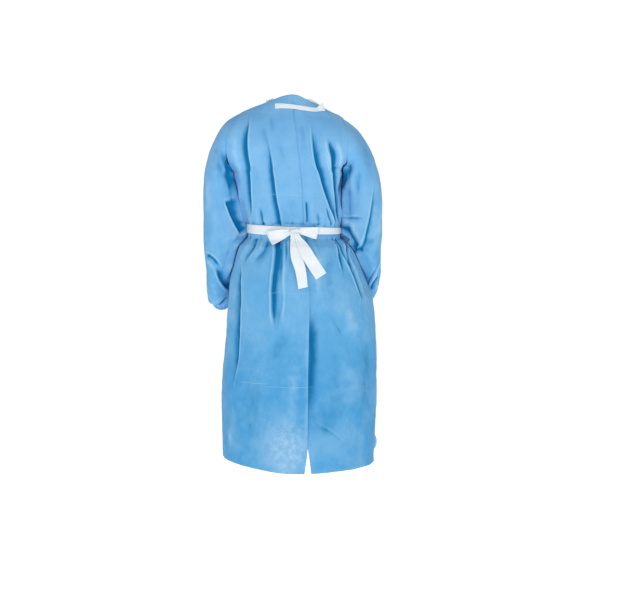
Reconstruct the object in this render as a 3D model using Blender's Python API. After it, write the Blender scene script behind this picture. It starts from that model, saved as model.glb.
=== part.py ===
"""Isolation gown of thin non-woven cloth, as it hangs when it is worn and tied at the back.

Metres, +Z up. The origin is the middle of the neck at the height of the shoulders.
+Y is the way the wearer faces and +X is the wearer's right, so the open back faces -Y.
An angle round the body is 0 at the centre back, 90 degrees at the wearer's right side,
180 degrees at the centre front and -90 degrees at the wearer's left side.
"""

import math

import bmesh
import bpy
import numpy as np

# Driving sizes
CLOTH = 0.0015
TAPE = 0.0011
SEAM_GAP = 0.0007
LAYER_GAP = 0.0010
SLIT_STRIP = 0.030
HEM_TO_UNDERARM = 0.915
HEM_TO_SHOULDER_TIP = 1.100
HEM_TO_NECK = 1.190
BELT_UP = 0.727
BELT_LIFT = 0.0017
CUFF_LENGTH = 0.024
CUFF_STEP = 0.0009

# Grid sizes of the pieces, in faces
BACK_COLUMNS = 12
OVERLAP_COLUMNS = 7
FRONT_COLUMNS = 26
BODY_ROWS = 30
SLEEVE_COLUMNS = 18
SLEEVE_ROWS = 17
BAND_COLUMNS = 46


def table(columns, *rows):
    """Rows of numbers, as one array for each named column."""
    return dict(zip(columns.split(), np.array(rows, float).T))


# The body's sections from the hem up. up is the distance above the hem, mid and half the
# section's middle and half width, back and front its depths, and the four heights say where
# it lies at the centre back, the left side, the right side and the centre front.
BODY = table(
    "up mid half back front back_z left_z right_z front_z",
    (0.000, 0.019, 0.245, 0.170, 0.165, -1.158, -1.130, -1.148, -1.108),
    (0.200, 0.022, 0.250, 0.168, 0.163, -0.940, -0.934, -0.934, -0.920),
    (0.420, 0.028, 0.239, 0.162, 0.155, -0.713, -0.711, -0.711, -0.706),
    (0.504, 0.028, 0.231, 0.158, 0.151, -0.627, -0.626, -0.626, -0.624),
    (0.557, 0.020, 0.220, 0.153, 0.146, -0.573, -0.573, -0.573, -0.573),
    (0.590, 0.016, 0.211, 0.149, 0.142, -0.540, -0.540, -0.540, -0.540),
    (0.637, 0.014, 0.196, 0.143, 0.136, -0.493, -0.493, -0.493, -0.493),
    (0.679, 0.009, 0.178, 0.133, 0.128, -0.451, -0.451, -0.451, -0.451),
    (0.692, 0.007, 0.163, 0.124, 0.120, -0.439, -0.438, -0.440, -0.439),
    (0.707, 0.006, 0.148, 0.114, 0.111, -0.424, -0.420, -0.427, -0.422),
    (0.747, 0.006, 0.148, 0.114, 0.111, -0.383, -0.378, -0.387, -0.381),
    (0.759, 0.005, 0.153, 0.119, 0.116, -0.371, -0.369, -0.373, -0.371),
    (0.780, 0.003, 0.157, 0.123, 0.119, -0.350, -0.349, -0.351, -0.350),
    (0.830, -0.005, 0.163, 0.130, 0.127, -0.300, -0.300, -0.300, -0.302),
    (0.885, -0.009, 0.172, 0.135, 0.133, -0.245, -0.245, -0.245, -0.252),
    (0.915, -0.011, 0.179, 0.136, 0.135, -0.215, -0.215, -0.215, -0.226),
    (1.000, -0.008, 0.188, 0.133, 0.128, -0.132, -0.125, -0.132, -0.170),
    (1.060, -0.004, 0.180, 0.118, 0.110, -0.075, -0.070, -0.090, -0.130),
    (1.100, 0.000, 0.165, 0.100, 0.095, -0.037, -0.033, -0.050, -0.104),
    (1.145, 0.003, 0.127, 0.085, 0.084, -0.004, -0.015, -0.030, -0.086),
    (1.190, 0.006, 0.086, 0.072, 0.078, 0.023, 0.000, -0.014, -0.074),
)
ROUNDNESS = 2.2

# The sleeves' rings from the armhole to the wrist, by their outer and inner points as seen
# from behind, x being outwards. y is how far forward a ring is, tuck how much further its
# inner point is, depth half its size from back to front, pitch turns the forearm forwards,
# and bulge pushes the ring's back and front along the arm.
SLEEVES = {
    "left": table(
        "outer_x outer_z inner_x inner_z y tuck depth pitch bulge",
        (0.165, -0.033, 0.190, -0.215, 0.000, 0.000, 0.098, 0, 0.024),
        (0.204, -0.056, 0.192, -0.226, 0.000, 0.004, 0.094, 0, 0.020),
        (0.240, -0.105, 0.190, -0.245, 0.000, 0.010, 0.089, 0, 0.015),
        (0.266, -0.165, 0.183, -0.268, 0.000, 0.018, 0.085, 0, 0.010),
        (0.278, -0.225, 0.171, -0.300, 0.000, 0.030, 0.082, 0, 0.005),
        (0.283, -0.310, 0.154, -0.350, 0.000, 0.038, 0.080, 0, 0.000),
        (0.283, -0.400, 0.1465, -0.408, 0.000, 0.038, 0.078, 0, 0.000),
        (0.281, -0.475, 0.179, -0.468, 0.010, 0.038, 0.078, 8, 0.000),
        (0.278, -0.540, 0.190, -0.530, 0.030, 0.034, 0.075, 18, 0.000),
        (0.279, -0.592, 0.192, -0.581, 0.064, 0.024, 0.068, 30, 0.000),
        (0.279, -0.619, 0.197, -0.612, 0.096, 0.012, 0.056, 42, 0.000),
        (0.268, -0.630, 0.205, -0.630, 0.123, 0.000, 0.034, 50, 0.000),
    ),
    "right": table(
        "outer_x outer_z inner_x inner_z y tuck depth pitch bulge",
        (0.165, -0.050, 0.168, -0.215, 0.000, 0.000, 0.098, 0, 0.010),
        (0.206, -0.082, 0.1715, -0.228, 0.000, 0.004, 0.093, 0, 0.012),
        (0.239, -0.128, 0.170, -0.245, 0.000, 0.010, 0.088, 0, 0.012),
        (0.265, -0.185, 0.1665, -0.268, 0.000, 0.018, 0.083, 0, 0.008),
        (0.281, -0.245, 0.1645, -0.300, 0.000, 0.026, 0.080, 0, 0.004),
        (0.288, -0.325, 0.162, -0.345, 0.000, 0.036, 0.078, 0, 0.000),
        (0.290, -0.400, 0.161, -0.405, 0.003, 0.036, 0.076, 0, 0.000),
        (0.284, -0.465, 0.195, -0.460, 0.018, 0.036, 0.078, 12, 0.000),
        (0.287, -0.522, 0.216, -0.512, 0.054, 0.030, 0.074, 28, 0.000),
        (0.285, -0.569, 0.220, -0.560, 0.102, 0.020, 0.068, 44, 0.000),
        (0.277, -0.600, 0.220, -0.592, 0.142, 0.010, 0.055, 56, 0.000),
        (0.274, -0.610, 0.214, -0.610, 0.170, 0.000, 0.034, 62, 0.000),
    ),
}
SIDES = {"left": -1, "right": 1}

# The free edges of the two back panels: how far right of the middle each stands, by height.
# The left panel lies over the right one down to the slit, where the two edges part.
OPENING = table(
    "z left_edge right_edge",
    (-1.158, 0.041, 0.0625),
    (-1.080, 0.0505, 0.0515),
    (-0.985, 0.052, 0.028),
    (-0.880, 0.052, 0.006),
    (-0.720, 0.055, -0.026),
    (-0.600, 0.058, -0.040),
    (-0.403, 0.040, -0.058),
    (-0.260, 0.034, -0.056),
    (-0.180, 0.025, -0.058),
    (-0.100, 0.016, -0.056),
    (-0.026, 0.006, -0.048),
    (0.023, 0.004, -0.040),
)

# The largest folds of the body: each is a trough that runs from its top to its foot.
FOLDS = table(
    "top_angle top_z foot_angle foot_z bow width depth top_fade foot_fade",
    (-47, -0.045, -64, -0.400, -8, 0.015, 0.015, 0.35, 0.10),
    (-17, -0.130, -15, -0.402, -3, 0.014, 0.013, 0.60, 0.05),
    (13, -0.045, 42, -0.402, -5, 0.014, 0.014, 0.50, 0.05),
    (26, -0.085, 52, -0.402, 2, 0.014, 0.016, 0.35, 0.05),
    (66, -0.215, 72, -0.402, 0, 0.013, 0.013, 0.40, 0.05),
    (110, -0.190, 108, -0.402, 4, 0.015, 0.014, 0.40, 0.05),
    (140, -0.150, 132, -0.402, 0, 0.015, 0.013, 0.50, 0.05),
    (165, -0.230, 160, -0.402, 0, 0.014, 0.009, 0.60, 0.05),
    (-162, -0.220, -158, -0.402, 0, 0.014, 0.010, 0.60, 0.05),
    (-138, -0.150, -131, -0.402, 0, 0.015, 0.014, 0.50, 0.05),
    (-112, -0.200, -108, -0.402, -3, 0.014, 0.013, 0.40, 0.05),
    (-12, -0.402, -9, -0.760, 1, 0.016, 0.013, 0.05, 0.60),
    (-50, -0.402, -70, -0.600, 3, 0.016, 0.011, 0.05, 0.70),
    (-73, -0.402, -82, -0.900, 2, 0.018, 0.012, 0.05, 0.50),
    (48, -0.402, 60, -0.640, 4, 0.016, 0.011, 0.05, 0.60),
    (66, -0.402, 76, -0.760, 4, 0.016, 0.013, 0.05, 0.60),
    (104, -0.402, 100, -0.980, 2, 0.020, 0.016, 0.05, 0.40),
    (133, -0.402, 130, -0.860, 0, 0.020, 0.014, 0.05, 0.60),
    (158, -0.402, 154, -1.000, 0, 0.022, 0.013, 0.05, 0.50),
    (-160, -0.402, -158, -0.940, 0, 0.022, 0.013, 0.05, 0.50),
    (-134, -0.402, -131, -0.860, 0, 0.020, 0.015, 0.05, 0.60),
    (-105, -0.402, -101, -1.000, -2, 0.020, 0.016, 0.05, 0.40),
)

# The white tie's stretches that lie on the back, as strips through rows of points. turn
# leans the strip's edge from upright, and lift is its height off the gown.
BOW = {
    "tail_left": table(
        "x z lift width turn",
        (0.010, -0.4167, 0.0082, 0.021, 90),
        (0.012, -0.4420, 0.0055, 0.032, 88),
        (0.018, -0.4780, 0.0045, 0.036, 84),
        (0.027, -0.5260, 0.0045, 0.036, 80),
        (0.036, -0.5740, 0.0045, 0.038, 76),
    ),
    "tail_right": table(
        "x z lift width turn",
        (0.018, -0.4167, 0.0113, 0.018, 96),
        (0.034, -0.4430, 0.0110, 0.032, 113),
        (0.052, -0.4740, 0.0090, 0.038, 121),
        (0.072, -0.5060, 0.0050, 0.038, 122),
        (0.093, -0.5385, 0.0045, 0.038, 122),
    ),
    "loop_left": table(
        "x z lift width turn",
        (-0.0062, -0.4040, 0.0080, 0.018, 2),
        (-0.0330, -0.4110, 0.0075, 0.034, 14),
        (-0.0640, -0.4210, 0.0085, 0.044, 28),
        (-0.0700, -0.4230, 0.0125, 0.045, 30),
        (-0.0640, -0.4210, 0.0165, 0.044, 28),
        (-0.0330, -0.4110, 0.0160, 0.034, 14),
        (-0.0062, -0.4040, 0.0118, 0.018, 2),
    ),
    "loop_right": table(
        "x z lift width turn",
        (0.0252, -0.4000, 0.0080, 0.017, -2),
        (0.0500, -0.4020, 0.0070, 0.028, -8),
        (0.0770, -0.4060, 0.0080, 0.037, -13),
        (0.0830, -0.4070, 0.0120, 0.038, -14),
        (0.0770, -0.4060, 0.0160, 0.037, -13),
        (0.0500, -0.4020, 0.0150, 0.028, -8),
        (0.0252, -0.4000, 0.0118, 0.017, -2),
    ),
}
BOW_ROWS = {"tail_left": 12, "tail_right": 12, "loop_left": 18, "loop_right": 18}
KNOT = {"x": 0.0095, "z": -0.4030, "lift": 0.0099, "width": 0.030, "height": 0.026, "depth": 0.013}

# The white fastening strip across the back of the neck, by the angle it has reached.
NECK_STRIP = table(
    "angle up width",
    (-32, 1.1330, 0.0280),
    (-20, 1.1315, 0.0240),
    (-5, 1.1278, 0.0200),
    (10, 1.1255, 0.0185),
    (20, 1.1255, 0.0185),
    (35, 1.1290, 0.0195),
    (48, 1.1340, 0.0210),
    (57, 1.1350, 0.0220),
)
BINDING_BELOW = 0.010
BINDING_ABOVE = 0.006
BINDING_SIDE_RISE = 0.013
BINDING_SIDE_SPREAD = 0.28

COLOURS = {"blue": (0.16, 0.42, 0.78, 1.0), "white": (0.86, 0.88, 0.90, 1.0)}


def smooth(x, knots, values):
    """A smooth curve through the values at the knots that never overshoots them."""
    step = np.diff(knots)
    slope = np.diff(values) / step
    product = slope[1:] * slope[:-1]
    total = slope[1:] + slope[:-1]
    inner = np.where(product > 0, 2 * product / np.where(product > 0, total, 1.0), 0.0)
    tangent = np.concatenate([slope[:1], inner, slope[-1:]])
    i = np.clip(np.searchsorted(knots, x, side="right") - 1, 0, len(step) - 1)
    t = np.clip((x - knots[i]) / step[i], 0.0, 1.0)
    start, end = values[i], values[i + 1]
    rise = (3 - 2 * t) * t * t
    bend = t * (1 - t) * step[i] * ((1 - t) * tangent[i] - t * tangent[i + 1])
    return start + (end - start) * rise + bend


def ease(t):
    """0 below 0, 1 above 1 and a smooth rise between."""
    t = np.clip(t, 0.0, 1.0)
    return t * t * (3 - 2 * t)


def ring_point(side, ring, turn):
    """A point of a sleeve's ring, whose row may fall between two of the table's.

    turn is 0 at the outer side or shoulder, a quarter turn at the back, half at the underarm.
    """
    rows = SLEEVES[side]
    index = np.arange(len(rows["y"]), dtype=float)
    at = {name: smooth(ring, index, column) for name, column in rows.items()}
    tilt = np.arctan2(at["outer_z"] - at["inner_z"], at["outer_x"] - at["inner_x"])
    pitch = np.radians(at["pitch"])
    share = (1 - np.cos(turn)) / 2
    backwards = at["depth"] * np.sin(turn)
    along = at["bulge"] * np.sin(turn) ** 2
    x = at["outer_x"] + (at["inner_x"] - at["outer_x"]) * share + along * np.sin(tilt)
    y = at["y"] + at["tuck"] * share - backwards * np.cos(pitch)
    z = at["outer_z"] + (at["inner_z"] - at["outer_z"]) * share
    z = z - along * np.cos(tilt) - backwards * np.sin(pitch)
    return np.stack([SIDES[side] * x, y, z], axis=-1)


def side_point(side, up, front):
    """Where a section of the body ends at this side: on the side seam, armhole or shoulder."""
    mid, half = (smooth(up, BODY["up"], BODY[name]) for name in ("mid", "half"))
    plain = np.stack(
        [mid + SIDES[side] * half, 0 * up, smooth(up, BODY["up"], BODY[side + "_z"])], axis=-1
    )
    share = (HEM_TO_SHOULDER_TIP - up) / (HEM_TO_SHOULDER_TIP - HEM_TO_UNDERARM)
    turn = np.where(front, -math.pi, math.pi) * np.clip(share, 0.0, 1.0)
    armhole = ring_point(side, np.zeros_like(up), turn)
    inside = (up > HEM_TO_UNDERARM) & (up < HEM_TO_SHOULDER_TIP)
    return np.where(inside[..., None], armhole, plain)


def seam_angle(side, up, front):
    """The angle at which that end stands, always counted from the centre back."""
    end = side_point(side, up, front)
    mid = smooth(up, BODY["up"], BODY["mid"])
    return np.arctan2(np.abs(end[..., 0] - mid), -end[..., 1])


def body_point(angle, up):
    """The gown's plain form, with no folds, at an angle round the body and a height up it."""
    right, front = np.sin(angle) >= 0, np.cos(angle) < 0
    at = {name: smooth(up, BODY["up"], column) for name, column in BODY.items()}
    ends = {side: side_point(side, up, front) for side in SIDES}
    end = np.where(right[..., None], ends["right"], ends["left"])
    depth = np.where(front, at["front"], at["back"])
    reach = np.clip(np.abs(end[..., 1]) / depth, 0.0, 0.95)
    half = np.abs(end[..., 0] - at["mid"]) / (1 - reach**ROUNDNESS) ** (1 / ROUNDNESS)
    across, deep = np.abs(np.sin(angle)), np.abs(np.cos(angle))
    radius = ((across / half) ** ROUNDNESS + (deep / depth) ** ROUNDNESS) ** (-1 / ROUNDNESS)
    turned = np.arctan2(across, deep)
    full = np.arctan2(np.abs(end[..., 0] - at["mid"]), np.abs(end[..., 1]))
    share = np.where(front, 1 - np.cos(turned / full * math.pi / 2), ease(turned / full))
    centre_z = np.where(front, at["front_z"], at["back_z"])
    z = centre_z + (end[..., 2] - centre_z) * share
    return np.stack([at["mid"] + radius * np.sin(angle), -radius * np.cos(angle), z], axis=-1)


def normals(grid, closed=False):
    """Unit normals of a grid of points, pointing out of the gown."""
    if closed:
        grid = np.concatenate([grid[:, -2:-1], grid, grid[:, 1:2]], axis=1)
    out = np.cross(np.gradient(grid, axis=1), np.gradient(grid, axis=0))
    out /= np.maximum(np.linalg.norm(out, axis=2, keepdims=True), 1e-12)
    return out[:, 1:-1] if closed else out


def fold_depth(angle, grid, belt_z):
    """How far the folds move each point of the body out, which is inwards nearly everywhere."""
    z = grid[..., 2]
    radius = np.hypot(grid[..., 0], grid[..., 1])
    total = np.zeros_like(z)
    for row in zip(*FOLDS.values()):
        top_angle, top_z, foot_angle, foot_z, bow, width, depth, top_fade, foot_fade = row
        t = (top_z - z) / (top_z - foot_z)
        path = np.radians(top_angle + (foot_angle - top_angle) * t + 4 * bow * t * (1 - t))
        turn = np.angle(np.exp(1j * (angle - path)))
        off = turn * radius / width
        fade = ease(t / top_fade) * ease((1 - t) / foot_fade)
        total += -depth * fade * (1 - 0.45 * off**2) * np.exp(-(off**2))
    at_belt = np.exp(-(((z - belt_z) / 0.022) ** 2))
    return total - np.maximum(total, 0) * at_belt - 0.0008 * at_belt


def cloth_grid(angle, up, inset=0.0):
    """Points of the folded cloth on a grid of angles and heights, moved in by inset."""
    grid = body_point(angle, up)
    belt_z = body_point(angle, np.full_like(up, BELT_UP))[..., 2]
    grid = grid + normals(grid) * fold_depth(angle, grid, belt_z)[..., None]
    return grid - normals(grid) * np.asarray(inset)[..., None]


def surface(name, grid, thickness, colour, closed=False):
    """One piece of cloth: a wall of this thickness on the inner side of a grid of points."""
    rows, columns = grid.shape[0] - 1, grid.shape[1] - 1
    shape = bmesh.new()
    bmesh.ops.create_grid(shape, x_segments=columns, y_segments=rows, size=0.5)
    for vertex in shape.verts:
        column = round((vertex.co.x + 0.5) * columns)
        row = round((vertex.co.y + 0.5) * rows)
        vertex.co = grid[row, column]
    if closed:
        bmesh.ops.remove_doubles(shape, verts=shape.verts, dist=0.00002)
    mesh = bpy.data.meshes.new(name)
    shape.to_mesh(mesh)
    shape.free()
    piece = bpy.data.objects.new(name, mesh)
    bpy.context.scene.collection.objects.link(piece)
    mesh.shade_smooth()
    mesh.materials.append(material(colour))
    wall = piece.modifiers.new("wall", "SOLIDIFY")
    wall.thickness = thickness
    wall.offset = -1
    return piece


def material(colour):
    """The plain finish of one of the gown's cloths."""
    found = bpy.data.materials.get(colour)
    if found:
        return found
    made = bpy.data.materials.new(colour)
    made.use_nodes = True
    shader = made.node_tree.nodes["Principled BSDF"]
    shader.inputs["Base Color"].default_value = COLOURS[colour]
    shader.inputs["Roughness"].default_value = 0.8
    shader.inputs["Metallic"].default_value = 0.0
    return made


def row_heights():
    """Heights of the grid's rows: close together near the belt and round the armholes."""
    spread = np.linspace(0.0, HEM_TO_NECK, 400)
    crowding = 1.0 + 1.8 * np.exp(-(((spread - BELT_UP) / 0.06) ** 2))
    crowding += 0.9 * ease((spread - 0.82) / 0.10)
    count = np.concatenate([[0], np.cumsum((crowding[1:] + crowding[:-1]) / 2)])
    return np.interp(np.linspace(0, count[-1], BODY_ROWS + 1), count, spread)


def edge_angle(edge, up):
    """The angle of a back panel's free edge at each height."""
    back_z, back, mid = (smooth(up, BODY["up"], BODY[name]) for name in ("back_z", "back", "mid"))
    x = smooth(back_z, OPENING["z"], OPENING[edge])
    return np.arctan2(x - mid, back)


def spread_columns(start, end, columns):
    """Angles from start to end for each row, as a grid."""
    return start[:, None] + (end - start)[:, None] * np.linspace(0, 1, columns + 1)


def joined(start, middle, end, first, second):
    """Angles from start to end by way of middle, with so many columns on each side of it."""
    return np.concatenate(
        [spread_columns(start, middle, first), spread_columns(middle, end, second)[:, 1:]], axis=1
    )


def body_panels():
    """The front and the two back panels."""
    up = row_heights()
    seams = {}
    for side in SIDES:
        for front in (False, True):
            end = side_point(side, up, np.full(up.shape, front))
            trim = SEAM_GAP / np.linalg.norm(end[:, :2], axis=1)
            angle = seam_angle(side, up, np.full(up.shape, front))
            seams[side, front] = angle + trim if front else angle - trim
    left_edge, right_edge = edge_angle("left_edge", up), edge_angle("right_edge", up)
    strip = SLIT_STRIP / smooth(up, BODY["up"], BODY["back"])

    inner = np.minimum(right_edge, left_edge - strip)
    angle = joined(-seams["left", False], inner, left_edge, BACK_COLUMNS, OVERLAP_COLUMNS)
    rows = np.repeat(up[:, None], angle.shape[1], axis=1)
    surface("back_left", cloth_grid(angle, rows), CLOTH, "blue")

    inner = np.maximum(left_edge, right_edge + strip)
    angle = joined(right_edge, inner, seams["right", False], OVERLAP_COLUMNS, BACK_COLUMNS)
    past_edge = (angle - left_edge[:, None]) * 0.14
    inset = (CLOTH + LAYER_GAP) * (1 - ease(past_edge / 0.035))
    surface("back_right", cloth_grid(angle, rows, inset), CLOTH, "blue")

    angle = spread_columns(seams["right", True], 2 * math.pi - seams["left", True], FRONT_COLUMNS)
    rows = np.repeat(up[:, None], FRONT_COLUMNS + 1, axis=1)
    surface("front", cloth_grid(angle, rows), CLOTH, "blue")


def sleeve_grid(side, start, end, rows):
    """Points of a sleeve between two of its rings, from the armhole towards the wrist."""
    turn = np.linspace(0, 2 * math.pi, SLEEVE_COLUMNS + 1)
    ring = np.linspace(start, end, rows + 1)[::-1]
    return ring_point(side, *np.meshgrid(ring, turn, indexing="ij")[:1], turn[None, :])


def sleeves_and_cuffs():
    """Each sleeve, and the elastic casing that gathers its end at the wrist."""
    for side, sign in SIDES.items():
        last = len(SLEEVES[side]["y"]) - 1
        grid = sleeve_grid(side, 0.06, last, SLEEVE_ROWS)
        grid = grid[:, ::-1] if sign > 0 else grid
        surface("sleeve_" + side, grid, CLOTH, "blue", closed=True)

        mouth = sleeve_grid(side, last, last, 0)[0]
        middle = mouth[:-1].mean(axis=0)
        pitch = math.radians(SLEEVES[side]["pitch"][-1])
        arm = np.array([0, math.sin(pitch), -math.cos(pitch)])
        steps = np.linspace(CUFF_LENGTH, 0, 3)[:, None, None]
        narrow = np.array([0.98, 0.95, 1.0])[:, None, None]
        cuff = middle + (mouth - middle)[None] * narrow + arm * (steps + CUFF_STEP)
        cuff = cuff[:, ::-1] if sign > 0 else cuff
        surface("cuff_" + side, cuff, CLOTH, "blue", closed=True)


def belt():
    """The tie's stretch round the waist, which the knot draws closed."""
    angle = np.linspace(0, 2 * math.pi, BAND_COLUMNS + 1)
    turn = np.degrees(angle)
    width = smooth(turn, np.array([0.0, 40, 90, 180, 270, 320, 360]),
                   np.array([0.028, 0.024, 0.021, 0.030, 0.033, 0.033, 0.028]))
    up = BELT_UP + width[None, :] * np.linspace(-0.5, 0.5, 3)[:, None]
    angle = np.repeat(angle[None, :], 3, axis=0)
    grid = body_point(angle, np.full_like(angle, BELT_UP))
    grid[..., 2] += up - BELT_UP
    grid += normals(grid, closed=True) * (BELT_LIFT + TAPE)
    surface("belt", grid, TAPE, "white", closed=True)


def on_back(x, z, lift):
    """The point this far off the gown's plain form that is seen at x and z from behind."""
    up = z - BODY["back_z"][0]
    mid = smooth(up, BODY["up"], BODY["mid"])
    angle = np.arctan2(x - mid, smooth(up, BODY["up"], BODY["back"]))
    for _ in range(4):
        point = body_point(angle, up)
        angle = angle + (x - point[..., 0]) / np.hypot(point[..., 0], point[..., 1])
        up = up + (z - point[..., 2])
    return np.stack([x, body_point(angle, up)[..., 1] - lift, z], axis=-1)


def bow():
    """The knot, its two loops and its two tails."""
    for name, rows in BOW.items():
        step = np.hypot(np.hypot(np.diff(rows["x"]), np.diff(rows["z"])), np.diff(rows["lift"]))
        along = np.concatenate([[0], np.cumsum(step)])
        at = np.linspace(0, along[-1], BOW_ROWS[name] + 1)
        x, z, lift, width, turn = (smooth(at, along, column) for column in rows.values())
        across = np.linspace(-0.5, 0.5, 5)[None, :] * width[:, None]
        lean = np.radians(turn)[:, None]
        x = x[:, None] - across * np.sin(lean)
        z = z[:, None] + across * np.cos(lean)
        waist_lift = np.full_like(x, 1.0) * lift[:, None]
        grid = on_back(x, z, waist_lift)
        surface(name, grid, TAPE, "white")

    shape = bmesh.new()
    bmesh.ops.create_cube(shape, size=1.0)
    for vertex in shape.verts:
        vertex.co.x *= KNOT["width"]
        vertex.co.y *= KNOT["depth"]
        vertex.co.z *= KNOT["height"]
    mesh = bpy.data.meshes.new("knot")
    shape.to_mesh(mesh)
    shape.free()
    piece = bpy.data.objects.new("knot", mesh)
    piece.location = on_back(np.array(KNOT["x"]), np.array(KNOT["z"]), np.array(KNOT["lift"]))
    bpy.context.scene.collection.objects.link(piece)
    mesh.materials.append(material("white"))
    rounding = piece.modifiers.new("rounding", "BEVEL")
    rounding.width = 0.004
    rounding.segments = 2


def neck_tapes():
    """The fastening strip across the back of the neck and the binding round its front."""
    angle = np.linspace(NECK_STRIP["angle"][0], NECK_STRIP["angle"][-1], 23)
    middle = smooth(angle, NECK_STRIP["angle"], NECK_STRIP["up"])
    width = smooth(angle, NECK_STRIP["angle"], NECK_STRIP["width"])
    up = middle[None, :] + width[None, :] * np.linspace(-0.5, 0.5, 3)[:, None]
    grid = cloth_grid(np.radians(angle)[None, :] + 0 * up, up)
    grid += normals(grid) * (TAPE + LAYER_GAP)
    surface("neck_strip", grid, TAPE, "white")

    angle = np.radians(np.linspace(92, 268, 31))[None, :]
    below = np.array([-BINDING_BELOW, -BINDING_BELOW / 2, -0.001, 0.001])[:, None]
    up = HEM_TO_NECK + np.minimum(below, 0) + 0 * angle
    grid = cloth_grid(angle + 0 * up, up)
    grid += normals(grid) * (TAPE + LAYER_GAP)
    from_side = (np.abs(angle - math.pi) - math.radians(88)) / BINDING_SIDE_SPREAD
    rise = BINDING_ABOVE + BINDING_SIDE_RISE * np.exp(-(from_side**2))
    grid[..., 2] += rise * (below > 0)
    surface("neck_binding", grid, TAPE, "white")


def main():
    """Clears the scene and builds every piece."""
    for old in list(bpy.data.objects):
        bpy.data.objects.remove(old)
    body_panels()
    sleeves_and_cuffs()
    belt()
    bow()
    neck_tapes()


main()
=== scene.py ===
"""Looks of an isolation gown, shaped as on a wearer: thin non-woven cloth with its folds, ties and a plain
studio.

Metres, +Z up. The open back of the gown faces -Y, +X is the wearer's right, and the origin is
the middle of the neck at the height of the shoulders. Angles round the body start at the
centre back and grow towards +X.
"""

from __future__ import annotations

import logging
import math
from dataclasses import dataclass, field, replace
from enum import Enum
from typing import Callable, Sequence

import bmesh
import bpy
import numpy as np
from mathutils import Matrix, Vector

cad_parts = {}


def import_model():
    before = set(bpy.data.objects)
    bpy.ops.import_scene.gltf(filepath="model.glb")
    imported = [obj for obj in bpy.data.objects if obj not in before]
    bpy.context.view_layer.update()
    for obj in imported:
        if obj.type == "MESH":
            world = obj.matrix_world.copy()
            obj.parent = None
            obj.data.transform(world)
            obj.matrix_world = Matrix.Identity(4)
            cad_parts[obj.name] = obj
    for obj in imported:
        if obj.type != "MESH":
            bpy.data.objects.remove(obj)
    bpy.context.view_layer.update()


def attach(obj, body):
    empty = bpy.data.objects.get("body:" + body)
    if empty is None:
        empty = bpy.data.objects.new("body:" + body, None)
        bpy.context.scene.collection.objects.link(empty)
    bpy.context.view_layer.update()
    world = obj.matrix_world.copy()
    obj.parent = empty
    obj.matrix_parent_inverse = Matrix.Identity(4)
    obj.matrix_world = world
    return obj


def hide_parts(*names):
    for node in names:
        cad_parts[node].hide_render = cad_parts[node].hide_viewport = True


LOG = logging.getLogger("gown")
Array = np.ndarray
Colour = tuple[float, float, float, float]
Material = bpy.types.Material
Node = bpy.types.Node
Object = bpy.types.Object
Socket = bpy.types.NodeSocket
Outputs = Sequence[Socket]
CLOTH_MAP = "cloth"
FOLD_SHADE = "crease"
TENTHS_OF_MM = 10000


class Side(Enum):
    """The two sides of the gown, with the sign of X on each."""

    LEFT = -1
    RIGHT = 1

    @property
    def word(self) -> str:
        """The side's name, as the pieces use it."""
        return self.name.lower()


class Course(Enum):
    """What the two numbers of a fold's path mean."""

    SEEN = "metres right and up on the gown's middle plane, as the camera sees it"
    ROUND = "degrees round the body and metres up"
    ARM = "degrees round a sleeve and rings along it"


def table(text: str, per_metre: int = 1000, plain: Sequence[str] = ()) -> dict[str, Array]:
    """Read a table of numbers into one array for each named column.

    Args:
        text: The names of the columns on the first line, and a row of numbers on each other.
        per_metre: How many of the table's units make a metre.
        plain: The columns that aren't lengths and stay as they are.

    Returns:
        The columns by name, with their lengths in metres.
    """
    head, *lines = text.strip().splitlines()
    columns = np.array([line.split() for line in lines], float).T
    return {
        name: column / (1 if name in plain else per_metre) for name, column in zip(head.split(), columns)
    }


def smooth(x: Array | float, knots: Array, values: Array) -> Array:
    """Evaluate a smooth curve through the knots that never overshoots them.

    Args:
        x: Where to read the curve.
        knots: The places where its values are known, rising.
        values: The values there.

    Returns:
        The curve's values at x.
    """
    step = np.diff(knots)
    slope = np.diff(values) / step
    product = slope[1:] * slope[:-1]
    total = slope[1:] + slope[:-1]
    inner = np.where(product > 0, 2 * product / np.where(product > 0, total, 1.0), 0.0)
    tangent = np.concatenate([slope[:1], inner, slope[-1:]])
    i = np.clip(np.searchsorted(knots, x, side="right") - 1, 0, len(step) - 1)
    t = np.clip((x - knots[i]) / step[i], 0.0, 1.0)
    start, end = values[i], values[i + 1]
    rise = (3 - 2 * t) * t * t
    bend = t * (1 - t) * step[i] * ((1 - t) * tangent[i] - t * tangent[i + 1])
    return start + (end - start) * rise + bend


def ease(t: Array | float) -> Array:
    """Rise smoothly from 0 at t = 0 to 1 at t = 1."""
    t = np.clip(t, 0.0, 1.0)
    return t * t * (3 - 2 * t)


def unit(vectors: Array) -> Array:
    """Scale vectors to length 1."""
    return vectors / np.maximum(np.linalg.norm(vectors, axis=-1, keepdims=True), 1e-12)


def bell(x: Array, middle: float, spread: float) -> Array:
    """A bell curve of height 1."""
    return np.exp(-(((x - middle) / spread) ** 2))


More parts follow.
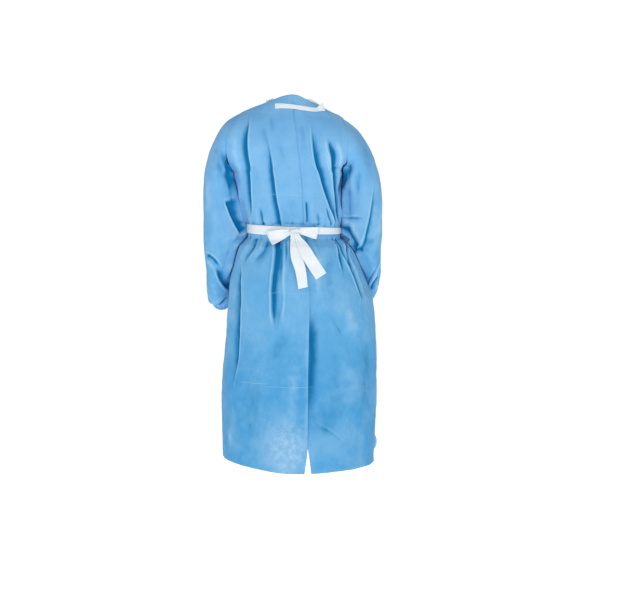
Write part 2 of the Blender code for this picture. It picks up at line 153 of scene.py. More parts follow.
BODY = table("""
up mid half back front back_z left_z right_z front_z
0 19 245 170 165 -1158 -1130 -1148 -1108
200 22 250 168 163 -940 -934 -934 -920
420 28 239 162 155 -713 -711 -711 -706
504 28 231 158 151 -627 -626 -626 -624
557 20 220 153 146 -573 -573 -573 -573
590 16 211 149 142 -540 -540 -540 -540
637 14 196 143 136 -493 -493 -493 -493
679 9 178 133 128 -451 -451 -451 -451
692 7 163 124 120 -439 -438 -440 -439
707 6 148 114 111 -424 -420 -427 -422
747 6 148 114 111 -383 -378 -387 -381
759 5 153 119 116 -371 -369 -373 -371
780 3 157 123 119 -350 -349 -351 -350
830 -5 163 130 127 -300 -300 -300 -302
885 -9 172 135 133 -245 -245 -245 -252
915 -11 179 136 135 -215 -215 -215 -226
1000 -8 188 133 128 -132 -125 -132 -170
1060 -4 180 118 110 -75 -70 -90 -130
1100 0 165 100 95 -37 -33 -50 -104
1145 3 127 85 84 -4 -15 -30 -86
1190 6 86 72 78 23 0 -14 -74
""")

SLEEVES = {
    Side.LEFT: table("""
outer_x outer_z inner_x inner_z y tuck depth pitch bulge
165 -33 190 -215 0 0 98 0 24
204 -56 192 -226 0 4 94 0 20
240 -105 190 -245 0 10 89 0 15
266 -165 183 -268 0 18 85 0 10
278 -225 171 -300 0 30 82 0 5
283 -310 154 -350 0 38 80 0 0
283 -400 146.5 -408 0 38 78 0 0
281 -475 179 -468 10 38 78 8 0
278 -540 190 -530 30 34 75 18 0
279 -592 192 -581 64 24 68 30 0
279 -619 197 -612 96 12 56 42 0
268 -630 205 -630 123 0 34 50 0
""", plain=("pitch",)),
    Side.RIGHT: table("""
outer_x outer_z inner_x inner_z y tuck depth pitch bulge
165 -50 168 -215 0 0 98 0 10
206 -82 171.5 -228 0 4 93 0 12
239 -128 170 -245 0 10 88 0 12
265 -185 166.5 -268 0 18 83 0 8
281 -245 164.5 -300 0 26 80 0 4
288 -325 162 -345 0 36 78 0 0
290 -400 161 -405 3 36 76 0 0
284 -465 195 -460 18 36 78 12 0
287 -522 216 -512 54 30 74 28 0
285 -569 220 -560 102 20 68 44 0
277 -600 220 -592 142 10 55 56 0
274 -610 214 -610 170 0 34 62 0
""", plain=("pitch",)),
}

OPENING = table("""
z left_edge right_edge
-1158 41 62.5
-1080 50.5 51.5
-985 52 28
-880 52 6
-720 55 -26
-600 58 -40
-403 40 -58
-260 34 -56
-180 25 -58
-100 16 -56
-26 6 -48
23 4 -40
""")


@dataclass(frozen=True)
class GownForm:
    """The gown's plain hollow form, the same as its solids have.

    body holds the sections from the hem up, sleeves the rings from the armhole to the wrist,
    and opening says where the free edges of the two back panels run. roundness is the power
    of its rounded sections, and the heights are counted up from the hem.
    """

    roundness: float = 2.2
    hem_to_underarm: float = 0.915
    hem_to_shoulder: float = 1.100
    hem_to_neck: float = 1.190
    belt_up: float = 0.727
    body: dict[str, Array] = field(default_factory=lambda: BODY)
    sleeves: dict[Side, dict[str, Array]] = field(default_factory=lambda: SLEEVES)
    opening: dict[str, Array] = field(default_factory=lambda: OPENING)

    def at(self, name: str, up: Array | float) -> Array:
        """Read one column of the body's table at a height above the hem."""
        return smooth(up, self.body["up"], self.body[name])

    def last_ring(self, side: Side) -> int:
        """The number of a sleeve's last ring, at the wrist."""
        return len(self.sleeves[side]["y"]) - 1

    def ring_point(self, side: Side, ring: Array, turn: Array) -> Array:
        """Find points of a sleeve.

        Args:
            side: Whose sleeve.
            ring: The ring's number, which may fall between two of the table's.
            turn: 0 at the outer side, a quarter turn at the back, half at the inner side.

        Returns:
            The points, with X, Y and Z last.
        """
        rows = self.sleeves[side]
        index = np.arange(len(rows["y"]), dtype=float)
        at = {name: smooth(ring, index, column) for name, column in rows.items()}
        tilt = np.arctan2(at["outer_z"] - at["inner_z"], at["outer_x"] - at["inner_x"])
        pitch = np.radians(at["pitch"])
        share = (1 - np.cos(turn)) / 2
        backwards = at["depth"] * np.sin(turn)
        along = at["bulge"] * np.sin(turn) ** 2
        x = at["outer_x"] + (at["inner_x"] - at["outer_x"]) * share + along * np.sin(tilt)
        y = at["y"] + at["tuck"] * share - backwards * np.cos(pitch)
        z = at["outer_z"] + (at["inner_z"] - at["outer_z"]) * share
        z = z - along * np.cos(tilt) - backwards * np.sin(pitch)
        return np.stack([side.value * x, y, z], axis=-1)

    def side_point(self, side: Side, up: Array, front: Array) -> Array:
        """Find where a section ends at this side: on a side seam, an armhole or a shoulder."""
        mid, half = self.at("mid", up), self.at("half", up)
        plain = np.stack([mid + side.value * half, 0 * up, self.at(side.word + "_z", up)], axis=-1)
        share = (self.hem_to_shoulder - up) / (self.hem_to_shoulder - self.hem_to_underarm)
        turn = np.where(front, -math.pi, math.pi) * np.clip(share, 0.0, 1.0)
        armhole = self.ring_point(side, np.zeros_like(up), turn)
        inside = (up > self.hem_to_underarm) & (up < self.hem_to_shoulder)
        return np.where(inside[..., None], armhole, plain)

    def seam_angle(self, side: Side, up: Array, front: bool) -> Array:
        """The angle at which a section ends at this side, counted from the centre back."""
        end = self.side_point(side, up, np.full(up.shape, front))
        return np.arctan2(np.abs(end[..., 0] - self.at("mid", up)), -end[..., 1])

    def point(self, angle: Array, up: Array) -> Array:
        """Find points of the body's plain form at angles round it and heights above the hem."""
        right, front = np.sin(angle) >= 0, np.cos(angle) < 0
        ends = {side: self.side_point(side, up, front) for side in Side}
        end = np.where(right[..., None], ends[Side.RIGHT], ends[Side.LEFT])
        mid = self.at("mid", up)
        depth = np.where(front, self.at("front", up), self.at("back", up))
        reach = np.clip(np.abs(end[..., 1]) / depth, 0.0, 0.95)
        power = self.roundness
        half = np.abs(end[..., 0] - mid) / (1 - reach**power) ** (1 / power)
        across, deep = np.abs(np.sin(angle)), np.abs(np.cos(angle))
        radius = ((across / half) ** power + (deep / depth) ** power) ** (-1 / power)
        turned = np.arctan2(across, deep)
        full = np.arctan2(np.abs(end[..., 0] - mid), np.abs(end[..., 1]))
        share = np.where(front, 1 - np.cos(turned / full * math.pi / 2), ease(turned / full))
        centre_z = np.where(front, self.at("front_z", up), self.at("back_z", up))
        z = centre_z + (end[..., 2] - centre_z) * share
        return np.stack([mid + radius * np.sin(angle), -radius * np.cos(angle), z], axis=-1)

    def normal(self, angle: Array, up: Array) -> Array:
        """Find the unit vectors that point out of the body's plain form."""
        turn, rise = 0.02, 0.004
        low = np.clip(up - rise, 0, self.hem_to_neck)
        high = np.clip(up + rise, 0, self.hem_to_neck)
        round_it = self.point(angle + turn, up) - self.point(angle - turn, up)
        upwards = self.point(angle, high) - self.point(angle, low)
        return unit(np.cross(round_it, upwards))

    def sleeve_normal(self, side: Side, ring: Array, turn: Array) -> Array:
        """Find the unit vectors that point out of a sleeve's plain form."""
        last = self.last_ring(side)
        part, step = 0.02, 0.05
        low, high = np.clip(ring - step, 0, last), np.clip(ring + step, 0, last)
        round_it = self.ring_point(side, ring, turn + part) - self.ring_point(side, ring, turn - part)
        along = self.ring_point(side, high, turn) - self.ring_point(side, low, turn)
        return unit(np.cross(round_it, along)) * side.value

    def flank(self, side: Side, y: Array, z: Array) -> Array:
        """How far out the body's side stands at this side, at given Y and Z below the underarm.

        Where Y is past the body's back or front, the answer is far inside.
        """
        up = np.interp(z, self.body[f"{side.word}_z"], self.body["up"])
        depth = np.where(y > 0, self.at("front", up), self.at("back", up))
        share = np.abs(y) / depth
        width = self.at("half", up) * (1 - np.minimum(share, 1.0) ** self.roundness) ** (1 / self.roundness)
        return np.where(share < 1, side.value * self.at("mid", up) + width, -1.0)

    def edge_angle(self, edge: str, up: Array) -> Array:
        """The angle of a back panel's free edge at each height."""
        x = smooth(self.at("back_z", up), self.opening["z"], self.opening[edge])
        return np.arctan2(x - self.at("mid", up), self.at("back", up))

    def on_back(self, x: Array, z: Array, lift: Array) -> Array:
        """Find points off the back's plain form, this far towards -Y, at given X and Z."""
        up = z - self.body["back_z"][0]
        angle = np.arctan2(x - self.at("mid", up), self.at("back", up))
        for _ in range(4):
            point = self.point(angle, up)
            angle = angle + (x - point[..., 0]) / np.hypot(point[..., 0], point[..., 1])
            up = np.clip(up + (z - point[..., 2]), 0, self.hem_to_neck)
        return np.stack([x, self.point(angle, up)[..., 1] - lift, z], axis=-1)


@dataclass(frozen=True)
class Eye:
    """Where the camera stands, and how it sees a point on the plane Y = 0.

    aim is the height it looks at and lens its focal length in millimetres.
    """

    distance: float = 4.2
    across: float = 0.0846
    height: float = -0.21
    aim: float = -0.638
    lens: float = 74.2

    def seen(self, points: Array) -> Array:
        """Put points on the plane Y = 0, as lines of sight from the camera cross it."""
        near = self.distance / (self.distance + points[..., 1])
        x = self.across + (points[..., 0] - self.across) * near
        z = self.height + (points[..., 2] - self.height) * near
        return np.stack([x, z], axis=-1)


@dataclass(frozen=True)
class Fold:
    """A trough or ridge pressed into the cloth along a path.

    depth is how far it goes in, so a ridge has less than 0. left and right are its half
    widths on each side of the path, as it looks when the path runs down. sharp is 2 for a
    soft bottom and 1 for a creased one. start and end are the shares of its length over
    which it fades, and lip is how high the cloth stands up beside it, as a share of depth.
    only names the pieces that it is kept to, and is empty where it shapes every piece.
    """

    path: tuple[tuple[float, float], ...]
    depth: float
    left: float
    right: float
    sharp: float = 2.0
    start: float = 0.25
    end: float = 0.25
    lip: float = 0.22
    course: Course = Course.SEEN
    only: tuple[str, ...] = ()

    def press(self, points: Array, normals: Array, line: Array, line_normals: Array) -> Array:
        """Work out how far the fold moves points out of the surface.

        Args:
            points: The surface's points, one in a row.
            normals: Its unit normals there.
            line: The fold's path as points on the surface.
            line_normals: The way the cloth faces along the path.

        Returns:
            The distance for each point, less than 0 where it moves in.
        """
        moved = np.zeros(len(points))
        reach = 4.5 * max(self.left, self.right)
        low, high = line.min(axis=0) - reach, line.max(axis=0) + reach
        near = np.flatnonzero(((points > low) & (points < high)).all(axis=1))
        if not len(near):
            return moved
        spots, facing = points[near], normals[near]
        best = np.full(len(near), 9.0)
        share = np.zeros(len(near))
        offset = np.zeros((len(near), 3))
        course = np.zeros((len(near), 3))
        same_way = np.zeros(len(near))
        for i in range(len(line) - 1):
            step = line[i + 1] - line[i]
            t = np.clip((spots - line[i]) @ step / max(step @ step, 1e-12), 0, 1)
            away = spots - line[i] - t[:, None] * step
            distance = np.linalg.norm(away, axis=1)
            closer = distance < best
            best[closer] = distance[closer]
            share[closer] = (i + t[closer]) / (len(line) - 1)
            offset[closer] = away[closer]
            course[closer] = step / max(np.linalg.norm(step), 1e-9)
            same_way[closer] = (facing @ line_normals[i])[closer]
        to_right = (offset * np.cross(facing, course)).sum(axis=1) > 0
        width = np.where(to_right, self.right, self.left)
        off = best / width
        trough = np.exp(-(off**self.sharp))
        lips = self.lip * np.exp(-(((off - 2.0) / 0.75) ** 2))
        fade = ease(share / max(self.start, 0.01)) * ease((1 - share) / max(self.end, 0.01))
        moved[near] = -self.depth * fade * (trough - lips) * ease(same_way / 0.5)
        return moved


@dataclass(frozen=True)
class Crumple:
    """Gentle unevenness of cloth: waves of many lengths and ways, always the same."""

    seed: int
    waves: int = 26
    shortest: float = 0.030
    longest: float = 0.160
    upright: float = 2.2

    def read(self, points: Array) -> Array:
        """Evaluate the unevenness, about -1 to 1, at points in space."""
        rng = np.random.default_rng(self.seed)
        total = np.zeros(points.shape[:-1])
        weight = 0.0
        for _ in range(self.waves):
            length = self.shortest * (self.longest / self.shortest) ** rng.random()
            way = rng.normal(size=3) * (1, 1, 1 / self.upright)
            way *= 2 * math.pi / length / np.linalg.norm(way)
            strength = (length / self.longest) ** 0.8
            bend = 0.6 * np.sin(points @ (way[[1, 2, 0]] * 0.37) + rng.uniform(0, 6.28))
            total += strength * np.sin(points @ way + rng.uniform(0, 6.28) + bend)
            weight += strength**2 / 2
        return total / math.sqrt(weight) / 1.6


def read_folds(text: str, course: Course = Course.SEEN) -> dict[str, Fold]:
    """Read folds from a table with named columns and two lines for each fold.

    A fold's first line is its name and its values, with depth, left and right in tenths of
    a millimetre. only is left out where it shapes every piece. The second line is its path,
    in pairs of millimetres or of degrees and millimetres.

    Args:
        text: The table, which starts with its columns' names.
        course: What the numbers of its paths mean.

    Returns:
        The folds by name.
    """
    head, *lines = text.strip().splitlines()
    columns = head.split()[1:]
    first_unit = 1000 if course is Course.SEEN else 1
    made = {}
    for row, pairs in zip(lines[::2], lines[1::2]):
        name, words = row.split(": ")
        cells = dict(zip(columns, words.split()))
        only = tuple(cells.pop("only", "").split())
        values = {column: float(cell) for column, cell in cells.items()}
        for size in ("depth", "left", "right"):
            values[size] /= TENTHS_OF_MM
        spots = (pair.split(",") for pair in pairs.split())
        path = tuple((float(first) / first_unit, float(second) / 1000) for first, second in spots)
        made[name] = Fold(path, **values, course=course, only=only)
    return made


BACK_FOLDS = read_folds("""
name: depth left right sharp start end lip only
left shoulder to waist: 135 190 36 1.7 0.42 0.25 0.2
    -136,-29 -140,-70 -145,-106 -145,-147 -140,-186 -137,-227 -135,-266 -133,-307 -133,-372
ridge left of it: -40 100 110 2 0.4 0.2 0
    -172,-230 -166,-280 -156,-340 -148,-380
left of the lap: 100 170 34 1.6 0.55 0.04 0.26
    -80,-75 -74,-140 -67,-186 -61,-237 -55,-288 -47,-333 -38,-392
left slant: 30 240 110 2 0.5 0.2 0.1
    -110,-110 -100,-200 -88,-300 -80,-390
left blade: 34 200 90 2 0.5 0.5 0.22
    -100,-48 -88,-99 -78,-154
collar's left: 32 80 120 2 0.4 0.6 0.22
    -70,-26 -62,-70 -56,-118
middle slant: 26 200 120 2 0.5 0.5 0.22
    -54,-83 -35,-147 -13,-221
collar's right: 32 110 130 2 0.4 0.6 0.22
    30,-40 34,-85 40,-140 50,-200
right shoulder to waist: 120 34 185 1.7 0.45 0.06 0.34
    62,-45 67,-110 74,-166 90,-221 101,-259 113,-296 126,-335 138,-388
right blade spike: 170 52 130 1.7 0.22 0.1 0.18
    113,-104 123,-141 131,-170 135,-221 138,-266 143,-310 149,-342 149,-388
dark edge at the right armpit: 105 60 300 1.8 0.2 0.35 0 back_right
    171,-186 163,-221 156,-250 153,-278 154,-305
dark side above the waist: 70 200 240 2 0.45 0.2 0
    136,-190 143,-250 147,-310 147,-372
small of the back: 30 420 380 2 0.5 0.05 0
    0,-260 -4,-330 -4,-388
right waist slant: 50 35 60 1.4 0.5 0.05 0.22
    108,-320 118,-358 126,-388
lap's lower pleat: 55 30 80 1.3 0.25 0.15 0.22
    46,-305 48,-345 47,-385
gather at the left hip: 42 90 50 2 0.5 0.05 0.22
    -104,-322 -99,-358 -94,-388
gather at the right hip: 36 60 90 2 0.6 0.05 0.22
    76,-330 86,-388
valley under the left loop: 120 46 140 1.6 0.04 0.45 0.36
    -52,-428 -50,-454 -53,-506 -60,-560 -62,-650 -57,-698 -50,-740
its inner branch: 40 130 44 1.5 0.05 0.4 0.2
    -30,-429 -34,-506 -34,-595 -40,-675 -49,-742
left hip slant: 52 90 140 2 0.1 0.6 0.22
    -76,-430 -86,-462 -110,-490 -142,-524
left side gather: 50 130 60 2 0.05 0.65 0.22
    -114,-425 -126,-456 -148,-492 -162,-530
under the knot: 55 80 40 1.4 0.05 0.6 0.22
    -19,-429 -18,-467 -26,-530
under the knot's right: 36 60 40 1.4 0.05 0.6 0.22
    3,-435 0,-484
left side's long strip: 88 300 38 1.7 0.22 0.55 0.22
    -163,-490 -167,-560 -169,-647 -173,-740 -181,-835 -193,-895 -206,-950
right hip 1: 80 42 85 1.4 0.05 0.5 0.4
    141,-424 163,-470 195,-538 218,-598 227,-660
right hip 2: 55 60 36 1.3 0.05 0.45 0.4
    168,-430 178,-470 191,-518 192,-560
right hip 3: 60 42 90 1.4 0.05 0.55 0.35
    131,-429 154,-483 172,-560
right hip 4: 50 60 36 1.3 0.05 0.55 0.35
    157,-426 182,-454 211,-506 222,-560
right of the tail: 30 160 300 2 0.3 0.6 0.05
    118,-440 120,-490 122,-595 128,-700
right middle ridge: -30 140 140 2 0.3 0.5 0
    84,-450 82,-540 84,-660
right hem slant: 18 110 42 1.6 0.4 0.4 0.22
    60,-1022 100,-1046 132,-1064 160,-1090 178,-1118
left skirt hollow: 34 520 480 2 0.35 0.25 0
    -128,-830 -130,-920 -132,-1010 -140,-1110
slant below the valley: 34 260 200 2 0.4 0.5 0.05
    0,-670 -16,-730 -44,-785 -77,-830 -98,-890
middle skirt hollow: 30 420 420 2 0.1 0.55 0
    -6,-440 10,-520 30,-620
light beside the lap: -36 360 300 2 0.4 0.3 0
    10,-760 4,-860 -4,-990 -6,-1090
right skirt hollow: 44 420 400 2 0.35 0.4 0
    236,-700 240,-800 240,-930 232,-1060
right middle column: 32 340 300 2 0.4 0.35 0.05
    140,-760 146,-870 152,-980 162,-1100
light on the right hip: -36 300 280 2 0.4 0.4 0
    172,-640 192,-700 196,-760
crease below the hip: 16 80 50 1.6 0.45 0.45 0.22
    124,-668 140,-704 158,-732 172,-750
left hem ripple: -30 200 200 2 0.5 0.2 0
    -186,-980 -196,-1050 -200,-1120
right hem ripple: 40 320 300 2 0.5 0.4 0.1
    108,-930 106,-1010 110,-1100
""")

EDGE_FOLDS = read_folds("""
name: depth left right sharp start end lip only
shadow beside the lap: 88 140 230 2 0.28 0.5 0 back_right
    61,-640 62,-705 64,-782 62,-860 58,-938 56,-1015 56,-1070
lap's lifted edge: -30 130 200 2 0.3 0.2 0 back_left
    58,-560 56,-672 53,-778 52,-883 50,-986 46,-1062 38,-1140
""")

FRONT_FOLDS = read_folds("""
name: depth left right sharp start end lip only
flap at the right of the hem: -170 170 170 2 0.5 0.35 0 front
    99,-1050 100,-1090 101,-1140
right chest: 81 120 120 2 0.45 0.05 0.22
    112,-150 110,-260 107,-392
right breast: 74 125 125 2 0.5 0.05 0.22
    143,-130 137,-260 131,-394
centre: 43 110 110 2 0.6 0.05 0.22
    168,-225 165,-310 160,-394
centre left: 53 110 110 2 0.6 0.05 0.22
    -166,-190 -162,-300 -157,-394
left breast: 77 120 120 2 0.45 0.05 0.22
    -137,-120 -134,-250 -130,-393
left chest: 74 115 115 2 0.4 0.05 0.22
    -110,-170 -110,-280 -107,-391
right side below: 81 170 170 2 0.03 0.5 0.22
    105,-416 104,-640 99,-990
right front below: 71 165 165 2 0.03 0.6 0.22
    134,-416 131,-600 129,-860
right middle below: 68 190 190 2 0.03 0.5 0.22
    159,-416 156,-700 153,-1020
left middle below: 65 190 190 2 0.03 0.6 0.22
    -163,-416 -158,-650 -157,-940
left front below: 77 170 170 2 0.03 0.6 0.22
    -136,-416 -133,-600 -130,-880
left side below: 81 165 165 2 0.03 0.45 0.22
    -104,-416 -103,-700 -99,-1010
drape across the chest: 30 120 120 2 0.5 0.5 0.22
    -150,-150 -172,-196 168,-190 150,-158
second drape: 26 130 130 2 0.5 0.5 0.22
    -142,-215 -166,-262 174,-262 155,-226
""", Course.ROUND)

SLEEVE_FOLDS = {
    Side.LEFT: read_folds("""
name: depth left right sharp start end lip only
pocket above the armpit: 60 100 100 1.6 0.45 0.3 0.35
    -196,-120 -192,-158 -182,-196
hollow by the waist: 160 42 280 1.6 0.18 0.1 0.28
    -212,-304 -200,-334 -184,-372 -164,-415
elbow outside: 60 120 36 1.4 0.1 0.45 0.35
    -276,-478 -256,-490 -240,-507 -228,-532
forearm: 110 40 200 1.6 0.3 0.15 0.32
    -244,-516 -234,-548 -220,-575 -198,-592
wrist: 80 60 130 1.5 0.4 0.2 0.22
    -248,-634 -228,-624 -204,-606
upper arm: 42 300 380 2 0.4 0.5 0
    -222,-90 -240,-150 -250,-205 -252,-270
outer plane: -35 160 160 2 0.5 0.5 0
    -262,-190 -268,-280 -262,-380
"""),
    Side.RIGHT: read_folds("""
name: depth left right sharp start end lip only
pocket under the armpit: 60 80 110 1.8 0.35 0.45 0
    176,-180 168,-206 161,-236 158,-290
level crease: 36 110 30 1.3 0.1 0.45 0.5
    162,-364 186,-362 212,-362 240,-366
outer long fold: 65 34 200 1.5 0.55 0.08 0.42
    266,-225 260,-300 246,-380 231,-438 212,-470
inner long fold: 100 36 160 1.5 0.3 0.1 0.3
    162,-378 176,-404 194,-438 212,-480
forearm ridge: -50 34 80 1.3 0.3 0.3 0.5
    288,-506 264,-546 240,-590
below the ridge: 70 60 90 1.5 0.3 0.2 0.1
    282,-540 262,-572 250,-598
upper arm: 50 110 100 1.6 0.4 0.3 0.1
    184,-168 180,-227 170,-290
middle of the arm: 34 180 100 2 0.5 0.4 0.1
    214,-186 210,-256 206,-330
outer upper arm: 42 360 280 2 0.4 0.5 0
    222,-100 240,-160 252,-226 252,-290
outer forearm: 50 220 200 2 0.4 0.4 0
    270,-400 262,-450 250,-510
"""),
}

ARM_FRONT_FOLDS = table("""
start_turn start_ring end_turn end_ring depth half
-150 2.2 -95 4.6 50 110
-40 1.6 -75 4.2 45 120
-165 4.8 -100 6.2 70 80
-175 5.6 -80 6.6 75 80
-170 6.4 -90 7.2 65 80
-20 5.2 -70 6 45 90
-160 7.4 -95 8.4 55 80
-120 8.2 -60 9.4 50 80
-60 7.2 -100 8.8 40 80
""", TENTHS_OF_MM, ("start_turn", "start_ring", "end_turn", "end_ring"))


@dataclass(frozen=True)
class Route:
    """A fold with its path laid on the gown, as points and the way the cloth faces there."""

    fold: Fold
    line: Array
    facing: Array


@dataclass
class FoldMap:
    """Every fold of the gown, laid on its plain form once for all of the pieces.

    step is the distance between the points of a path, deepest the depth that folds can't
    pass together, and darkest the depth at which the painted shade of a fold is as dark as it gets.
    """

    form: GownForm
    eye: Eye
    step: float = 0.006
    deepest: float = 0.021
    darkest: float = 0.0115
    tries: int = 14
    routes: list[Route] = field(default_factory=list)

    def lay_all(self) -> None:
        """Lay every fold of the tables and the gathers at the waist."""
        for group in (BACK_FOLDS, EDGE_FOLDS, FRONT_FOLDS):
            for fold in group.values():
                self.lay(fold, self.form.point, self.form.normal, self.find_on_body)
        for fold in WaistGathers().folds():
            self.lay(fold, self.form.point, self.form.normal, self.find_on_body)
        for side in Side:
            self.lay_on_sleeve(side)

    def lay_on_sleeve(self, side: Side) -> None:
        """Lay the folds of one sleeve, those that show and those on its front."""

        def point(turn: Array, ring: Array) -> Array:
            return self.form.ring_point(side, ring, turn)

        def normal(turn: Array, ring: Array) -> Array:
            return self.form.sleeve_normal(side, ring, turn)

        def find(spots: Array) -> tuple[Array, Array]:
            rows = self.form.sleeves[side]
            middle_z = (rows["outer_z"] + rows["inner_z"]) / 2
            ring = np.interp(-spots[:, 1], -middle_z, np.arange(len(middle_z)))
            last = self.form.last_ring(side)
            return self.search(point, spots, np.full(len(spots), math.pi / 2), ring, (0.1, 3.0), (0, last))

        names = (f"sleeve_{side.word}",)
        for fold in SLEEVE_FOLDS[side].values():
            self.lay(fold, point, normal, find, names)
        shift = 0.35 if side is Side.LEFT else 0.0
        for row in zip(*ARM_FRONT_FOLDS.values()):
            start_turn, start_ring, end_turn, end_ring, depth, half = row
            path = ((start_turn, start_ring + shift), (end_turn, end_ring + shift))
            fold = Fold(path, depth, half, half, 1.7, 0.4, 0.4, 0.3, Course.ARM)
            self.lay(fold, point, normal, find, names)

    def search(
        self,
        point: Callable[[Array, Array], Array],
        spots: Array,
        first: Array,
        second: Array,
        first_range: tuple[float, float],
        second_range: tuple[float, float],
    ) -> tuple[Array, Array]:
        """Find where lines of sight through spots meet a surface, by Newton's method.

        Args:
            point: The surface, as a function of two numbers.
            spots: Places on the gown's middle plane, as the camera sees them.
            first: A first guess of the surface's first number.
            second: A first guess of the second.
            first_range: The least and most that the first may be.
            second_range: The same for the second.

        Returns:
            The two numbers at each spot.
        """
        tiny = 1e-4
        for _ in range(self.tries):
            here = self.eye.seen(point(first, second))
            by_first = (self.eye.seen(point(first + tiny, second)) - here) / tiny
            by_second = (self.eye.seen(point(first, second + tiny)) - here) / tiny
            miss = spots - here
            area = by_first[:, 0] * by_second[:, 1] - by_first[:, 1] * by_second[:, 0]
            area = np.where(np.abs(area) < 1e-5, 1e-5, area)
            move = (miss[:, 0] * by_second[:, 1] - miss[:, 1] * by_second[:, 0]) / area
            slide = (by_first[:, 0] * miss[:, 1] - by_first[:, 1] * miss[:, 0]) / area
            limit = 0.08 * (second_range[1] - second_range[0])
            first = np.clip(first + np.clip(move, -0.2, 0.2), *first_range)
            second = np.clip(second + np.clip(slide, -limit, limit), *second_range)
        return first, second

    def find_on_body(self, spots: Array) -> tuple[Array, Array]:
        """Find the angles and heights at which spots lie on the back."""
        up = np.clip(spots[:, 1] + self.form.hem_to_neck - 0.03, 0.0, self.form.hem_to_neck)
        mid, half = self.form.at("mid", up), self.form.at("half", up)
        angle = np.arcsin(np.clip((spots[:, 0] - mid) / half, -0.96, 0.96))
        return self.search(self.form.point, spots, angle, up, (-1.5, 1.5), (0.0, self.form.hem_to_neck))

    def lay(
        self,
        fold: Fold,
        point: Callable[[Array, Array], Array],
        normal: Callable[[Array, Array], Array],
        find: Callable[[Array], tuple[Array, Array]],
        only: tuple[str, ...] = (),
    ) -> None:
        """Lay one fold on a surface.

        Args:
            fold: The fold.
            point: The surface, as a function of two numbers.
            normal: Its outward normals.
            find: Turns places that the camera sees into those two numbers.
            only: The pieces that the fold is kept to, where the fold itself names none.
        """
        spots = np.array(fold.path, float)
        if fold.course is Course.ROUND:
            spots = np.stack([np.radians(np.unwrap(spots[:, 0], period=360)), spots[:, 1]], axis=-1)
            rise = np.linspace(0, self.form.hem_to_neck, 240)
            first = spots[:, 0]
            second = np.array([
                np.interp(z, self.form.point(np.full(240, a), rise)[:, 2], rise) for a, z in spots
            ])
        elif fold.course is Course.ARM:
            first, second = np.radians(spots[:, 0]), spots[:, 1]
        else:
            first, second = find(spots)
        corners = point(first, second)
        length = np.concatenate([[0], np.cumsum(np.linalg.norm(np.diff(corners, axis=0), axis=1))])
        count = max(3, int(length[-1] / self.step))
        at = np.linspace(0, length[-1], count)
        first, second = self.curve(length, first, at), self.curve(length, second, at)
        kept = replace(fold, only=fold.only or only)
        self.routes.append(Route(kept, point(first, second), normal(first, second)))

    @staticmethod
    def curve(length: Array, values: Array, at: Array) -> Array:
        """Read a round curve through values, given at lengths along a path."""
        if len(length) < 3:
            return np.interp(at, length, values)
        tangent = np.gradient(values, length)
        i = np.clip(np.searchsorted(length, at, side="right") - 1, 0, len(length) - 2)
        step = length[i + 1] - length[i]
        t = (at - length[i]) / step
        rise = t * t * (3 - 2 * t)
        bend = t * (1 - t) * step * ((1 - t) * tangent[i] - t * tangent[i + 1])
        return values[i] * (1 - rise) + values[i + 1] * rise + bend

    def press(self, name: str, points: Array, normals: Array) -> Array:
        """Add up how far all the folds move the points of a piece along its normals.

        Args:
            name: The piece's name.
            points: Its points, on the plain form.
            normals: Its normals there.

        Returns:
            The distances, in the shape of the points' grid.
        """
        flat, facing = points.reshape(-1, 3), normals.reshape(-1, 3)
        total = np.zeros(len(flat))
        for route in self.routes:
            if not route.fold.only or name in route.fold.only:
                total += route.fold.press(flat, facing, route.line, route.facing)
        deep = self.deepest
        total = np.where(total < 0, -deep * np.tanh(-total / deep), total)
        return total.reshape(points.shape[:-1])

    def shade(self, height: Array) -> Array:
        """Painted shade from the folds' depth: 1 in a deep fold, and below 0 on a ridge, where it paints a
        highlight.
        """
        return np.clip(-height / self.darkest, -0.6, 1.0)


@dataclass(frozen=True)
class WaistGathers:
    """Short uneven gathers where the tie draws the cloth in, above and below it."""

    seed: int = 7
    count: int = 22
    above: float = 0.405
    below: float = 0.398
    shortest: float = 0.022
    longest: float = 0.090
    shallow: float = 0.0010
    deep: float = 0.0026
    jitter: float = 6.0
    slant: float = 5.0
    halves: tuple[float, float] = (0.0040, 0.0085)

    def folds(self) -> list[Fold]:
        """Make the gathers, spread unevenly all round."""
        rng = np.random.default_rng(self.seed)
        made = []
        for below in (False, True):
            angles = np.linspace(-180, 180, self.count, endpoint=False)
            angles = angles + rng.uniform(-self.jitter, self.jitter, self.count)
            for angle in angles:
                length = self.shortest + (self.longest - self.shortest) * rng.random() ** 2.0
                depth = self.shallow + (self.deep - self.shallow) * rng.random() ** 1.5
                slant = rng.uniform(-self.slant, self.slant)
                half = rng.uniform(*self.halves)
                start = -self.above - 0.006 if below else -self.below + 0.006
                end = start - length * 1.25 if below else start + length
                made.append(
                    Fold(
                        ((angle, start), (angle + slant * 0.4, (start + end) / 2), (angle + slant, end)),
                        depth, half, half, 1.6, 0.04, 0.75, 0.35, Course.ROUND,
                    )
                )
        return made


def add_object(name: str, shape: bmesh.types.BMesh, finish: Material, rounded: bool = True) -> Object:
    """Put a shape into the scene as an object with one material, shaded smooth if rounded."""
    mesh = bpy.data.meshes.new(name)
    shape.to_mesh(mesh)
    shape.free()
    if rounded:
        mesh.shade_smooth()
    mesh.materials.append(finish)
    made = bpy.data.objects.new(name, mesh)
    bpy.context.scene.collection.objects.link(made)
    return made


